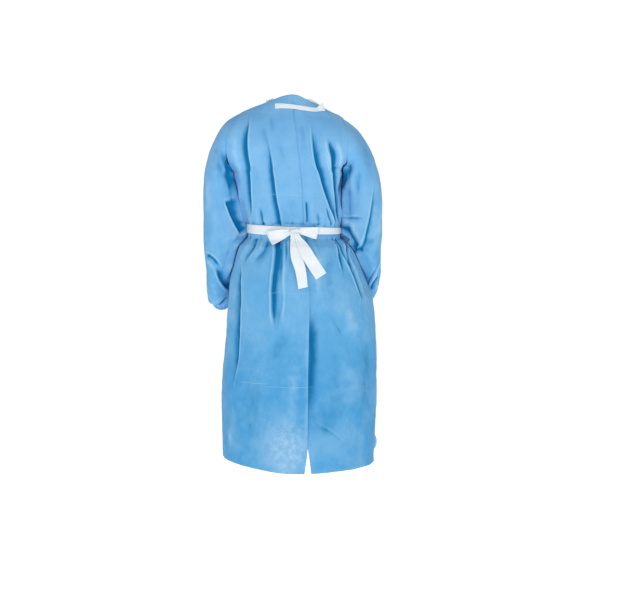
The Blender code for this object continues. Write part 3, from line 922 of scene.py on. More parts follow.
@dataclass
class Cloth:
    """A sheet of points and what is made of it: a thin wall with its own map and painted shade.

    grid has X, Y and Z last, map_metres the place of each point on the cut cloth, and
    hollow the shade that its folds paint on it.
    """

    name: str
    grid: Array
    map_metres: Array
    hollow: Array | float = 0.0
    wall: float = 0.0005
    closed: bool = False
    subdivide: int = 0

    def make(self, finish: Material) -> Object:
        """Build the piece.

        Args:
            finish: Its material.

        Returns:
            The finished object, linked to the scene.
        """
        rows, columns = self.grid.shape[0] - 1, self.grid.shape[1] - 1
        shape = bmesh.new()
        bmesh.ops.create_grid(shape, x_segments=columns, y_segments=rows, size=0.5)
        shape.verts.ensure_lookup_table()
        flat = np.array([vertex.co for vertex in shape.verts])
        column = np.rint((flat[:, 0] + 0.5) * columns).astype(int)
        row = np.rint((flat[:, 1] + 0.5) * rows).astype(int)
        spots = self.grid[row, column].tolist()
        for vertex, spot in zip(shape.verts, spots):
            vertex.co = spot
        # Painted shade in an attribute: dark in troughs and folds, a painted highlight on ridges.
        crease = shape.verts.layers.float.new(FOLD_SHADE)
        deep = np.clip(0.6 * self.cavity() + self.hollow, -1, 1)[row, column].tolist()
        for vertex, value in zip(shape.verts, deep):
            vertex[crease] = value
        cut = shape.loops.layers.uv.new(CLOTH_MAP)
        places = self.map_metres[row, column].tolist()
        for face in shape.faces:
            for loop in face.loops:
                loop[cut].uv = places[loop.vert.index]
        if self.closed:
            bmesh.ops.remove_doubles(shape, verts=shape.verts, dist=0.00002)
        piece = add_object(self.name, shape, finish)
        if self.subdivide:
            finer = piece.modifiers.new("finer", "SUBSURF")
            finer.levels = finer.render_levels = self.subdivide
        thick = piece.modifiers.new("wall", "SOLIDIFY")
        thick.thickness = self.wall
        thick.offset = -1
        return piece

    def cavity(self) -> Array:
        """How deep each point lies among its neighbours: 1 in a trough and -1 on a ridge."""
        facing = grid_normals(self.grid, self.closed)
        total = np.zeros(self.grid.shape[:2])
        for reach, scale, share in ((0.006, 0.0010, 0.55), (0.016, 0.0042, 0.45)):
            around = self.blurred(reach)
            total += share * np.clip(((around - self.grid) * facing).sum(axis=2) / scale, -1, 1)
        return total

    def blurred(self, reach: float) -> Array:
        """The grid, with each point moved to the middle of those within this reach."""
        soft = self.grid
        for axis in (0, 1):
            cell = np.median(np.linalg.norm(np.diff(self.grid, axis=axis), axis=2))
            cells = max(1, round(reach / max(cell, 1e-6)))
            mode = "wrap" if self.closed and axis == 1 else "reflect"
            cells = min(cells, soft.shape[axis] - 1)
            if cells < 1:
                continue
            pad = [(0, 0)] * 3
            pad[axis] = (cells, cells)
            if mode == "wrap":
                ring = soft[:, :-1]
                wide = np.concatenate([ring[:, -cells:], soft, ring[:, 1:cells + 1]], axis=1)
            else:
                wide = np.pad(soft, pad, mode="reflect", reflect_type="odd")
            total = np.cumsum(wide, axis=axis)
            zero = np.zeros_like(np.take(total, [0], axis=axis))
            total = np.concatenate([zero, total], axis=axis)
            size = soft.shape[axis]
            window = 2 * cells + 1
            high = np.take(total, np.arange(window, window + size), axis=axis)
            low = np.take(total, np.arange(size), axis=axis)
            soft = (high - low) / window
        return soft


@dataclass(frozen=True)
class Unevenness:
    """How cloth stands off its plain form: waves of a hand's width and of a finger's width."""

    broad: Crumple = Crumple(seed=11)
    fine: Crumple = Crumple(seed=23, waves=34, shortest=0.014, longest=0.040, upright=1.6)
    broad_height: float = 0.0016
    fine_height: float = 0.00035

    def read(self, points: Array) -> Array:
        """Heights off the form at points, lower on the shoulders than further down."""
        calm = 0.55 + 0.45 * ease((-0.05 - points[..., 2]) / 0.25)
        broad, fine = self.broad.read(points), self.fine.read(points)
        return calm * (self.broad_height * broad + self.fine_height * fine)


def grid_normals(grid: Array, closed: bool = False) -> Array:
    """Unit normals of a grid of points whose rows go up and whose columns go round."""
    if closed:
        grid = np.concatenate([grid[:, -2:-1], grid, grid[:, 1:2]], axis=1)
    out = unit(np.cross(np.gradient(grid, axis=1), np.gradient(grid, axis=0)))
    return out[:, 1:-1] if closed else out


def between(start: Array, end: Array, columns: int) -> Array:
    """Numbers from start to end in each row, as a grid."""
    return start[:, None] + (end - start)[:, None] * np.linspace(0, 1, columns + 1)


@dataclass
class BodyPanels:
    """The front and the two lapped back panels.

    The front runs seam_lap under the backs, seam_inset below them. layer_gap lies between
    the two backs, and dip_right and dip_left are how far the neck's edge sinks behind. Each
    radius turns angles into metres where it is used.
    """

    form: GownForm
    folds: FoldMap
    uneven: Unevenness = Unevenness()
    back_columns: int = 168
    back_rows: int = 286
    front_columns: int = 150
    front_rows: int = 226
    seam_gap: float = 0.0004
    seam_lap: float = 0.0040
    seam_inset: float = 0.0011
    layer_gap: float = 0.0025
    top_band: float = 0.05
    map_radius: float = 0.16
    seam_radius: float = 0.15
    edge_radius: float = 0.14
    lap_radius: float = 0.20
    under_belt: float = 0.0010
    dip_right: float = 0.009
    dip_left: float = 0.004

    def heights(self, rows: int) -> Array:
        """Heights of the grid's rows, closer together near the tie."""
        spread = np.linspace(0.0, self.form.hem_to_neck, 600)
        crowding = 1.0 + 0.7 * bell(spread, self.form.belt_up, 0.10)
        count = np.concatenate([[0], np.cumsum((crowding[1:] + crowding[:-1]) / 2)])
        return np.interp(np.linspace(0, count[-1], rows + 1), count, spread)

    def cloth(self, name: str, angle: Array, up: Array, inset: Array | float = 0.0) -> Cloth:
        """Lay a panel's cloth on the form, with its folds and unevenness.

        Args:
            name: The panel's name.
            angle: The angles of its grid.
            up: The heights above the hem of its grid.
            inset: How far it lies under the form.

        Returns:
            The panel, still to be made.
        """
        near_top = ease((up - (self.form.hem_to_neck - self.top_band)) / self.top_band)
        turned = np.degrees(np.angle(np.exp(1j * angle)))
        dip = self.dip_right * bell(turned, 38, 20) + self.dip_left * bell(turned, -52, 16)
        up = up - dip * near_top
        plain, facing = self.form.point(angle, up), self.form.normal(angle, up)
        height = self.folds.press(name, plain, facing)
        # Painted shade of the folds, from how deep they press in.
        hollow = self.folds.shade(height)
        height += self.uneven.read(plain)
        at_belt = bell(up, self.form.belt_up, 0.011)
        height = height * (1 - at_belt) - self.under_belt * at_belt
        grid = plain + facing * (height - np.asarray(inset))[..., None]
        return Cloth(f"cloth_{name}", grid, np.stack([angle * self.map_radius, up], axis=-1), hollow)

    def make(self, finish: Material) -> list[Object]:
        """Build the three panels."""
        up = self.heights(self.back_rows)
        trim = self.seam_gap / self.seam_radius
        left_edge, right_edge = (self.form.edge_angle(f"{side.word}_edge", up) for side in Side)
        seam = {side: self.form.seam_angle(side, up, False) - trim for side in Side}
        rows = np.repeat(up[:, None], self.back_columns + 1, axis=1)

        left = self.cloth("back_left", between(-seam[Side.LEFT], left_edge, self.back_columns), rows)
        angle = between(right_edge, seam[Side.RIGHT], self.back_columns)
        past_edge = (angle - left_edge[:, None]) * self.edge_radius
        inset = self.layer_gap * (1 - ease(past_edge / 0.035))
        inset = inset * (1 - 0.6 * ease((up - (self.form.hem_to_neck - self.top_band)) / 0.02))[:, None]
        right = self.cloth("back_right", angle, rows, inset)

        up = self.heights(self.front_rows)
        sewn = 1 - ease((up - self.form.hem_to_underarm + 0.025) / 0.02) * (1 - ease((up - 1.115) / 0.02))
        under = trim - (trim + self.seam_lap / self.lap_radius) * sewn
        start = self.form.seam_angle(Side.RIGHT, up, True) + under
        end = 2 * math.pi - self.form.seam_angle(Side.LEFT, up, True) - under
        angle = between(start, end, self.front_columns)
        rows = np.repeat(up[:, None], self.front_columns + 1, axis=1)
        from_edge = np.minimum(angle - start[:, None], end[:, None] - angle) * self.lap_radius
        inset = self.seam_inset * (1 - ease((from_edge / self.seam_lap - 1) / 1.5)) * sewn[:, None]
        front = self.cloth("front", angle, rows, inset)
        return [panel.make(finish) for panel in (left, right, front)]


@dataclass(frozen=True)
class Shade:
    """Where a sleeve darkens: from a turn in degrees on, and down to a height, and how much."""

    start: float
    spread: float
    lowest: float
    valley: float
    shoulder: float


@dataclass
class Sleeves:
    """The two set-in sleeves and the elastic casings at their wrists.

    tuck is how far a sleeve's head runs under the armhole's edge, hug_reach how near the
    body its inner side has to be to be brought against it, hug_end the ring where that ends,
    and square how far its inner back quarter stands out.
    """

    form: GownForm
    folds: FoldMap
    uneven: Unevenness = Unevenness()
    columns: int = 150
    rows: int = 172
    cuff_rows: int = 14
    cuff_columns: int = 180
    cuff_length: float = 0.024
    cuff_step: float = 0.0005
    cuff_tuck: float = 0.0045
    gathers: int = 27
    gather_depth: float = 0.0012
    tuck: float = 0.0065
    clearance: float = 0.0007
    hug_reach: float = 0.032
    hug_end: float = 8.6
    hug_fade: float = 1.2
    wrist_rings: float = 1.6
    wrist_waves: float = 0.0022
    map_radius: float = 0.078
    cuff_radius: float = 0.045
    cuff_wall: float = 0.0009
    square: float = 0.009
    shades: dict[Side, Shade] = field(
        default_factory=lambda: {
            Side.LEFT: Shade(120, 36, -0.36, 1.05, 0.50),
            Side.RIGHT: Shade(133, 20, -0.32, 1.05, 0.14),
        }
    )

    def gather_waves(self, turn: Array, side: Side) -> Array:
        """Uneven gathers round a wrist, about -1 to 1."""
        phase = 1.3 * np.sin(2 * turn + side.value) + 0.8 * np.sin(5 * turn)
        return 0.7 * np.sin(self.gathers * turn + phase) + 0.3 * np.sin(41 * turn + 2 * phase)

    def sleeve(self, side: Side) -> Cloth:
        """Lay out one sleeve, from under the armhole's edge to the casing."""
        name = f"sleeve_{side.word}"
        last = self.form.last_ring(side)
        turn = np.linspace(0, 2 * math.pi, self.columns + 1)[None, :]
        rings = np.linspace(0.0, last, self.rows + 1)[::-1][:, None]
        turn, ring = np.broadcast_arrays(turn, rings)
        plain, facing = self.form.ring_point(side, ring, turn), self.form.sleeve_normal(side, ring, turn)
        height = self.folds.press(name, plain, facing)
        # Painted shade of the folds, from how deep they press in.
        hollow = self.folds.shade(height)
        height += self.uneven.read(plain)
        near_wrist = ease((ring - (last - self.wrist_rings)) / self.wrist_rings)
        height += near_wrist * self.wrist_waves * self.gather_waves(turn, side)
        height = height - 0.0002 * ease(1 - ring / 0.25)
        grid = self.hug(side, plain + facing * height[..., None], turn, ring)
        hollow = hollow + self.shadow(side, grid, turn, ring)
        along = grid[-2] - grid[-1]
        grid[-1] = grid[-1] - unit(along) * self.tuck
        middle = np.cumsum(np.linalg.norm(np.diff(plain.mean(axis=1), axis=0), axis=1))
        length = np.concatenate([[0], middle])[:, None] + 0 * turn
        if side is Side.RIGHT:
            grid, turn, length = grid[:, ::-1], turn[:, ::-1], length[:, ::-1]
            hollow = hollow[:, ::-1]
        place = np.stack([turn * self.map_radius, length], axis=-1)
        return Cloth(f"cloth_{name}", grid, place, hollow, closed=True)

    def hug(self, side: Side, grid: Array, turn: Array, ring: Array) -> Array:
        """Bring the sleeve's inner side against the body, without cutting into it.

        Its inner back quarter stands squarer there, so it meets the body in a narrow valley.

        Args:
            side: Whose sleeve.
            grid: The sleeve's points.
            turn: Their turns round it.
            ring: Their rings along it.

        Returns:
            The points moved.
        """
        quarter = np.where((turn > math.pi / 2) & (turn < math.pi), np.sin(2 * turn) ** 2, 0.0)
        to_wrist = ease((self.hug_end - ring) / self.hug_fade)
        squarer = self.square * quarter * ease((ring - 0.8) / 1.4) * to_wrist
        grid = grid - np.stack([0 * squarer, squarer, 0 * squarer], axis=-1)
        outward = side.value * grid[..., 0]
        wanted = self.form.flank(side, grid[..., 1], grid[..., 2]) + self.clearance
        gap = outward - wanted
        inner = ease((-np.cos(turn) + 0.10) / 0.55) * ease((ring - 0.06) / 0.5) * to_wrist
        share = inner * ease((self.hug_reach - gap) / (0.6 * self.hug_reach))
        below = ease((-0.142 - grid[..., 2]) / 0.02)
        moved = np.where(gap > 0, outward - gap * share * below, outward - gap * below)
        return np.stack([side.value * moved, grid[..., 1], grid[..., 2]], axis=-1)

    def shadow(self, side: Side, grid: Array, turn: Array, ring: Array) -> Array:
        """How much darker the sleeve is in the valley beside the body and behind the shoulder."""
        shade = self.shades[side]
        z = grid[..., 2]
        degrees = np.degrees(turn)
        valley = ease((degrees - shade.start) / shade.spread) * ease((200 - degrees) / 20)
        valley = valley * ease((-0.155 - z) / 0.045) * ease((z - shade.lowest) / 0.06)
        behind = ease((np.sin(turn) + 0.2) / 0.4)
        shoulder = bell(ring, 2.0, 1.5) * ease((0.35 - np.cos(turn)) / 0.9) * behind
        return shade.valley * valley + shade.shoulder * shoulder

    def cuff(self, side: Side) -> Cloth:
        """Lay out the casing at one wrist."""
        last = self.form.last_ring(side)
        turn = np.linspace(0, 2 * math.pi, self.cuff_columns + 1)
        mouth = self.form.ring_point(side, np.full_like(turn, last), turn)
        middle = mouth[:-1].mean(axis=0)
        pitch = math.radians(self.form.sleeves[side]["pitch"][-1])
        arm = np.array([0, math.sin(pitch), -math.cos(pitch)])
        share = np.linspace(1, 0, self.cuff_rows + 1)[:, None]
        narrow = 0.955 + 0.045 * np.abs(2 * share - 1) ** 2.4
        tucked = ease(1 - share / 0.22)
        waves = self.gather_waves(turn, side)[None, :] * (0.55 + 0.45 * np.abs(2 * share - 1))
        outward = unit(mouth - middle)[None]
        grid = middle + (mouth - middle)[None] * narrow[..., None]
        grid = grid + outward * (waves * (self.gather_depth + 0.0010 * tucked) - 0.0007 * tucked)[..., None]
        grid = grid + arm * (share * self.cuff_length + self.cuff_step - self.cuff_tuck * tucked)[..., None]
        place = np.stack(np.broadcast_arrays(turn * self.cuff_radius, share * self.cuff_length), axis=-1)
        if side is Side.RIGHT:
            grid, place = grid[:, ::-1], place[:, ::-1]
        return Cloth(f"cloth_cuff_{side.word}", grid, place, wall=self.cuff_wall, closed=True)

    def make(self, finish: Material) -> list[Object]:
        """Build both sleeves and both casings."""
        made = []
        for side in Side:
            made += [self.sleeve(side).make(finish), self.cuff(side).make(finish)]
        return made


@dataclass(frozen=True)
class Band:
    """A stretch of the white tie that lies on the back, as a strip through rows of points.

    turn leans its edge from upright and lift is its height off the gown. pleat is how deep
    the gathers are at the ends named by tight, which are shares of its length, and curl
    lifts its edges.
    """

    name: str
    route: dict[str, Array]
    rows: int
    pleat: float
    pleats: float
    tight: tuple[float, ...]
    reach: float
    curl: float = 0.0


BANDS = (
    Band("tail_left", table("""
x z lift width turn
60 -4050 170 170 84
90 -4200 148 220 88
126 -4479 78 320 92
175 -4800 50 360 98
294 -5207 45 330 102
371 -5740 45 300 104
""", TENTHS_OF_MM, ("turn",)), rows=96, pleat=0.0026, pleats=3.2, tight=(0.0,), reach=0.34, curl=0.0010),
    Band("tail_right", table("""
x z lift width turn
150 -4050 176 140 98
210 -4200 168 200 104
350 -4440 118 320 113
520 -4740 90 380 121
720 -5060 50 380 122
930 -5385 45 380 122
""", TENTHS_OF_MM, ("turn",)), rows=96, pleat=0.0024, pleats=2.6, tight=(0.0,), reach=0.36, curl=0.0012),
    Band("loop_left", table("""
x z lift width turn
-62 -4040 80 180 2
-330 -4110 75 340 14
-640 -4210 85 440 28
-700 -4230 125 450 30
-640 -4210 165 440 28
-330 -4110 160 340 14
-62 -4040 118 180 2
""", TENTHS_OF_MM, ("turn",)), rows=130, pleat=0.0017, pleats=2.6, tight=(0.0, 1.0), reach=0.24),
    Band("loop_right", table("""
x z lift width turn
252 -4000 80 170 -2
500 -4020 70 280 -8
770 -4060 80 370 -13
830 -4070 120 380 -14
770 -4060 160 370 -13
500 -4020 150 280 -8
252 -4000 118 170 -2
""", TENTHS_OF_MM, ("turn",)), rows=130, pleat=0.0016, pleats=2.4, tight=(0.0, 1.0), reach=0.24),
)

BELT_WIDTHS = table("""
degrees width rise
0 27 3
40 22 5.2
90 20 4
180 29 0
270 28 2.5
320 29 3
360 27 3
""", plain=("degrees",))

NECK_STRIP = table("""
angle up width
-32 11330 280
-20 11318 240
-8 11290 200
8 11262 185
20 11246 200
30 11250 220
39 11262 222
47 11315 215
57 11390 205
""", TENTHS_OF_MM, ("angle",))


@dataclass
class WaistTie:
    """The white tie: its stretch round the waist, the knot, two loops and two tails."""

    form: GownForm
    wall: float = 0.0004
    belt_columns: int = 460
    belt_rows: int = 14
    belt_lift: float = 0.0026
    band_columns: int = 22
    knot_x: float = 0.0095
    knot_z: float = -0.4030
    knot_lift: float = 0.0099
    knot_width: float = 0.034
    knot_height: float = 0.022
    knot_depth: float = 0.012
    knot_power: float = 2.6
    knot_wave: float = 9.5
    map_radius: float = 0.135
    tail_clear: float = 0.0042
    loop_clear: float = 0.0062
    widths: dict[str, Array] = field(default_factory=lambda: BELT_WIDTHS)

    def belt(self) -> Cloth:
        """Lay out the stretch round the waist, with the soft creases of a pulled tape."""
        angle = np.linspace(0, 2 * math.pi, self.belt_columns + 1)
        width = smooth(np.degrees(angle), self.widths["degrees"], self.widths["width"])
        rise = smooth(np.degrees(angle), self.widths["degrees"], self.widths["rise"])
        across = np.linspace(-0.5, 0.5, self.belt_rows + 1)[:, None]
        place = np.repeat(angle[None, :], self.belt_rows + 1, axis=0)
        grid = self.form.point(place, np.full_like(place, self.form.belt_up))
        grid[..., 2] += width[None, :] * across + rise[None, :]
        wander = 0.10 * np.sin(3 * angle + 0.6) + 0.06 * np.sin(7 * angle)
        pull = 0.45 + 0.35 * np.sin(2 * angle + 1.0) ** 2
        crease = -0.0007 * bell(across, 0.0 + wander[None, :], 0.10) * pull
        crease = crease - 0.0005 * bell(across, 0.27 - wander[None, :], 0.07) * (1 - pull)
        edge = 0.0003 * np.abs(2 * across) ** 4
        near_knot = np.exp(-((np.angle(np.exp(1j * (angle - 0.02))) / 0.30) ** 2))[None, :]
        pinch = 0.0012 * np.sin(across * 17.0 + 0.8) * near_knot
        lift = self.belt_lift + crease - edge + pinch * 0.5
        grid = grid + grid_normals(grid, closed=True) * lift[..., None]
        cut = np.stack([place * self.map_radius, across * width[None, :]], axis=-1)
        return Cloth("tape_belt", grid, cut, wall=self.wall, closed=True)

    def band(self, band: Band) -> Cloth:
        """Lay out a loop or a tail, gathered where the knot holds it."""
        rows = band.route
        step = np.hypot(np.hypot(np.diff(rows["x"]), np.diff(rows["z"])), np.diff(rows["lift"]))
        along = np.concatenate([[0], np.cumsum(step)])
        at = np.linspace(0, along[-1], band.rows + 1)
        x, z, lift, width, turn = (smooth(at, along, column)[:, None] for column in rows.values())
        across = np.linspace(-0.5, 0.5, self.band_columns + 1)[None, :]
        lean = np.radians(turn)
        share = at[:, None] / along[-1]
        gather = sum(ease(1 - np.abs(share - end) / band.reach) for end in band.tight)
        wave = np.sin(2 * math.pi * band.pleats * (across + 0.07 * np.sin(5 * share)) + 0.9)
        bulge = band.pleat * gather * wave * (1 - 0.25 * np.abs(2 * across))
        soft = 0.0006 * np.sin(14 * share + 3 * across) + 0.0004 * np.sin(31 * share - 5 * across)
        edges = band.curl * np.abs(2 * across) ** 3 * ease(share / 0.5)
        clear = self.tail_clear if band.tight == (0.0,) else self.loop_clear
        lifted = np.maximum(lift + bulge + soft + edges, clear)
        offset = across * width
        grid = self.form.on_back(x - offset * np.sin(lean), z + offset * np.cos(lean), lifted)
        cut = np.stack(np.broadcast_arrays(offset, at[:, None]), axis=-1)
        return Cloth(f"tape_{band.name}", grid, cut, wall=self.wall)

    def knot(self, finish: Material) -> Object:
        """Build the knot: a band wrapped over a lump, pinched at both sides and creased."""
        shape = bmesh.new()
        bmesh.ops.create_cube(shape, size=1.0)
        bmesh.ops.subdivide_edges(shape, edges=shape.edges, cuts=27, use_grid_fill=True)
        middle = self.form.on_back(*map(np.array, (self.knot_x, self.knot_z, self.knot_lift)))
        power = self.knot_power
        for vertex in shape.verts:
            x, y, z = (2 * c for c in vertex.co)
            ball = Vector((x, y, z)) / (abs(x) ** power + abs(y) ** power + abs(z) ** power) ** (1 / power)
            pinch = 1 - 0.20 * bell(ball.x, -0.95, 0.45) - 0.16 * bell(ball.x, 0.95, 0.45)
            lean = 0.30 * ball.z
            wave = math.sin(self.knot_wave * (ball.x + 0.22 * ball.z) + 0.7)
            groove = 0.055 * wave + 0.03 * math.sin(21 * ball.x)
            groove -= 0.10 * float(bell(ball.x + 0.3 * ball.z, 0.28, 0.10))
            swell = 1 + groove * (0.35 + 0.65 * max(-ball.y, 0.0))
            vertex.co = Vector(middle) + Vector((
                (ball.x + lean) * self.knot_width / 2 * 0.98,
                ball.y * self.knot_depth / 2 * swell * pinch,
                ball.z * self.knot_height / 2 * pinch,
            ))
        # Painted shade and highlight, in bands that follow the knot's grooves.
        crease = shape.verts.layers.float.new(FOLD_SHADE)
        for vertex in shape.verts:
            local = (vertex.co.x - middle[0]) / self.knot_width * 2
            vertex[crease] = 0.35 * math.sin(self.knot_wave * local + 0.7) * -0.6
        return add_object("tape_knot", shape, finish)

    def make(self, finish: Material) -> list[Object]:
        """Build the tie's pieces."""
        flat = [self.belt()] + [self.band(band) for band in BANDS]
        return [cloth.make(finish) for cloth in flat] + [self.knot(finish)]


@dataclass
class NeckTapes:
    """The white strip that closes the neck behind, and the binding round the front.

    below and above are how far the binding reaches from the neck's edge, and right_end and
    left_end where it ends, in degrees.
    """

    form: GownForm
    folds: FoldMap
    wall: float = 0.0004
    strip_columns: int = 150
    strip_rows: int = 12
    binding_columns: int = 190
    binding_rows: int = 12
    below: float = 0.010
    above: float = 0.006
    side_rise: float = 0.008
    side_spread: float = 0.50
    lift: float = 0.0024
    right_end: float = 32.0
    left_end: float = 318.0
    behind_rise: float = 0.009
    behind_lift: float = -0.0040
    dents: tuple[float, float] = (-11.0, 13.0)
    curl_lift: float = 0.005
    curl_rise: float = 0.010
    strip_radius: float = 0.09
    binding_radius: float = 0.10
    strip: dict[str, Array] = field(default_factory=lambda: NECK_STRIP)

    def strip_cloth(self) -> Cloth:
        """Lay out the strip across the back of the neck."""
        degrees = np.linspace(self.strip["angle"][0], self.strip["angle"][-1], self.strip_columns + 1)
        middle = smooth(degrees, self.strip["angle"], self.strip["up"])
        width = smooth(degrees, self.strip["angle"], self.strip["width"])
        across = np.linspace(-0.5, 0.5, self.strip_rows + 1)[:, None]
        up = middle[None, :] + width[None, :] * across
        lean = np.radians(4.4) * ease((-20 - degrees) / 12)[None, :] * across
        angle = np.radians(degrees)[None, :] - lean
        plain, facing = self.form.point(angle, up), self.form.normal(angle, up)
        ripple = 0.0006 * np.sin(degrees / 4.0)[None, :] * np.cos(3 * across)
        for spot in self.dents:
            ripple = ripple - 0.0007 * bell(degrees, spot, 2.2)[None, :] * bell(across, 0.15, 0.22)
        curled = ease((degrees - 44) / 11)[None, :] * (across + 0.5)
        grid = plain + facing * (self.lift + ripple + self.curl_lift * curled)[..., None]
        grid[..., 2] += self.curl_rise * curled
        cut = np.stack([angle * self.strip_radius, across * width[None, :]], axis=-1)
        return Cloth("tape_neck_strip", grid, cut, wall=self.wall)

    def binding_cloth(self) -> Cloth:
        """Lay out the binding round the neck's edge, with its ends inside the back panels."""
        degrees = np.linspace(self.right_end, self.left_end, self.binding_columns + 1)
        angle = np.radians(degrees)[None, :]
        share = np.linspace(0, 1, self.binding_rows + 1)[:, None]
        from_side = (np.abs(angle - math.pi) - math.radians(88)) / self.side_spread
        top = self.above + self.side_rise * np.exp(-(from_side**2))
        behind = ease((np.abs(degrees - 180) - 86) / 20)
        near_end = ease((degrees - self.right_end) / 14) * ease((self.left_end - degrees) / 14)
        top = top * (1 - behind) + behind * self.behind_rise * near_end
        lift = self.lift * (1 - behind) + self.behind_lift * behind
        rise = -self.below + (self.below + top) * share
        up = self.form.hem_to_neck + np.minimum(rise, -0.0004) + 0 * angle
        angle = angle + 0 * up
        grid = self.form.point(angle, up) + self.form.normal(angle, up) * lift[None, :, None]
        grid[..., 2] += np.maximum(rise, 0) + 0.0003 * np.sin(angle * 38) * share
        cut = np.stack([angle * self.binding_radius, rise + 0 * angle], axis=-1)
        return Cloth("tape_neck_binding", grid, cut, wall=self.wall)

    def make(self, finish: Material) -> list[Object]:
        """Build the strip and the binding."""
        return [self.strip_cloth().make(finish), self.binding_cloth().make(finish)]


@dataclass
class NodeKit:
    """Adds nodes to a tree and joins them in one call each."""

    tree: bpy.types.NodeTree

    def add(self, kind: str, inputs: dict[str | int, object] | None = None, **settings: object) -> Node:
        """Add a node.

        Args:
            kind: The node's type.
            inputs: A value or another node's output socket for each named or numbered input.
            settings: The node's own settings.

        Returns:
            The node.
        """
        node = self.tree.nodes.new(kind)
        for name, value in settings.items():
            setattr(node, name, value)
        self.feed(node, inputs or {})
        return node

    def feed(self, node: Node, inputs: dict[str | int, object]) -> None:
        """Give a node's inputs their values, or join them to other nodes' output sockets."""
        for name, value in inputs.items():
            if isinstance(value, Socket):
                self.tree.links.new(value, node.inputs[name])
            else:
                node.inputs[name].default_value = value

    def math(self, operation: str, *values: object) -> Socket:
        """Add an operation on numbers."""
        return self.add("ShaderNodeMath", dict(enumerate(values)), operation=operation).outputs[0]

    def times(self, first: object, second: object) -> Socket:
        """Add a product."""
        return self.math("MULTIPLY", first, second)

    def total(self, base: float, *terms: tuple[Socket, float]) -> Socket:
        """Add up a number and any sockets, each times its factor."""
        total: object = base
        for socket, factor in terms:
            total = self.math("ADD", total, self.times(socket, factor))
        return total

    def vector(self, operation: str, *values: object) -> Node:
        """Add an operation on vectors."""
        return self.add("ShaderNodeVectorMath", dict(enumerate(values)), operation=operation)

    def spread(self, value: object, low: float, high: float, to_low: float, to_high: float) -> Socket:
        """Map a number from one range to another, smoothly and without leaving it."""
        inputs = dict(enumerate((value, low, high, to_low, to_high)))
        return self.add("ShaderNodeMapRange", inputs, interpolation_type="SMOOTHSTEP").outputs[0]

    def noise(self, vector: object, scale: float, detail: float = 3.0, rough: float = 0.5) -> Socket:
        """Add a noise and return its number."""
        inputs = {"Vector": vector, "Scale": scale, "Detail": detail, "Roughness": rough}
        return self.add("ShaderNodeTexNoise", inputs).outputs["Fac"]

    def cracks(self, vector: object, scale: float) -> Socket:
        """Add cells and return the distance to their edges."""
        inputs = {"Vector": vector, "Scale": scale}
        return self.add("ShaderNodeTexVoronoi", inputs, feature="DISTANCE_TO_EDGE").outputs["Distance"]

    def stretch(self, vector: object, scale: tuple[float, float, float]) -> Socket:
        """Scale a place by each axis."""
        return self.add("ShaderNodeMapping", {"Vector": vector, "Scale": scale}).outputs[0]

    def blend(self, share: object, first: object, second: object, kind: str = "MIX") -> Socket:
        """Mix two colours."""
        settings = {"data_type": "RGBA", "blend_type": kind, "clamp_factor": True}
        return self.add("ShaderNodeMix", {0: share, 6: first, 7: second}, **settings).outputs[2]

    def bump(self, strength: float, relief: Socket) -> Socket:
        """Turn a relief in metres into normals."""
        inputs = {"Strength": strength, "Distance": 1.0, "Height": relief}
        return self.add("ShaderNodeBump", inputs).outputs[0]

    def grey(self, value: Socket) -> Socket:
        """Turn a number into a grey."""
        return self.add("ShaderNodeCombineColor", {0: value, 1: value, 2: value}).outputs[0]

    def shared(self, name: str, build: Callable[[NodeKit, Socket], dict], place: Socket) -> Outputs:
        """Add a node group that is made once for all the materials.

        Args:
            name: Its name.
            build: Fills it, and returns the socket for the name of each output number.
            place: Where it is read.

        Returns:
            Its outputs.
        """
        group = bpy.data.node_groups.get(name)
        if not group:
            group = bpy.data.node_groups.new(name, "ShaderNodeTree")
            group.interface.new_socket("Place", in_out="INPUT", socket_type="NodeSocketVector")
            inner = NodeKit(group)
            results = build(inner, inner.add("NodeGroupInput").outputs["Place"])
            for label in results:
                group.interface.new_socket(label, in_out="OUTPUT", socket_type="NodeSocketFloat")
            inner.add("NodeGroupOutput", results)
        return self.add("ShaderNodeGroup", {"Place": place}, node_tree=group).outputs


def fibre_web(kit: NodeKit, place: Socket) -> dict[str, Socket]:
    """Fibres laid both ways in a spunbonded web, and its grid of pressed bond points."""
    one_way = kit.noise(kit.stretch(place, (260.0, 1500.0, 1.0)), 1.0, 4.0, 0.6)
    other_way = kit.noise(kit.stretch(place, (1700.0, 420.0, 1.0)), 1.0, 3.0, 0.6)
    cells = kit.add(
        "ShaderNodeTexVoronoi",
        {"Vector": kit.stretch(place, (640.0, 520.0, 1.0)), "Scale": 1.0, "Randomness": 0.12},
        voronoi_dimensions="2D",
    )
    return {
        "Web": kit.total(0.0, (one_way, 0.5), (other_way, 0.5)),
        "Cloud": kit.noise(place, 160.0, 4.0, 0.62),
        "Points": kit.spread(cells.outputs["Distance"], 0.18, 0.34, 1.0, 0.0),
    }


def crumpled(kit: NodeKit, place: Socket) -> dict[str, Socket]:
    """Fine crumple: soft dents, and thin lines where the cloth has been creased."""
    warp = kit.add("ShaderNodeTexNoise", {"Vector": place, "Scale": 16.0, "Detail": 3.0})
    moved = kit.vector("SUBTRACT", warp.outputs["Color"], (0.5, 0.5, 0.5)).outputs[0]
    bent = kit.vector("MULTIPLY_ADD", moved, (0.07, 0.07, 0.10), place).outputs[0]
    tall = kit.stretch(bent, (1.0, 1.0, 0.42))
    lines = kit.spread(kit.cracks(tall, 21.0), 0.0, 0.05, 1.0, 0.0)
    thin = kit.spread(kit.cracks(tall, 52.0), 0.0, 0.07, 0.6, 0.0)
    where = kit.spread(kit.noise(place, 7.0, 3.0), 0.46, 0.62, 0.0, 1.0)
    dents = kit.noise(kit.stretch(place, (1.0, 1.0, 0.5)), 58.0, 4.0, 0.55)
    return {"Lines": kit.times(kit.math("MAXIMUM", lines, thin), where), "Dents": dents}


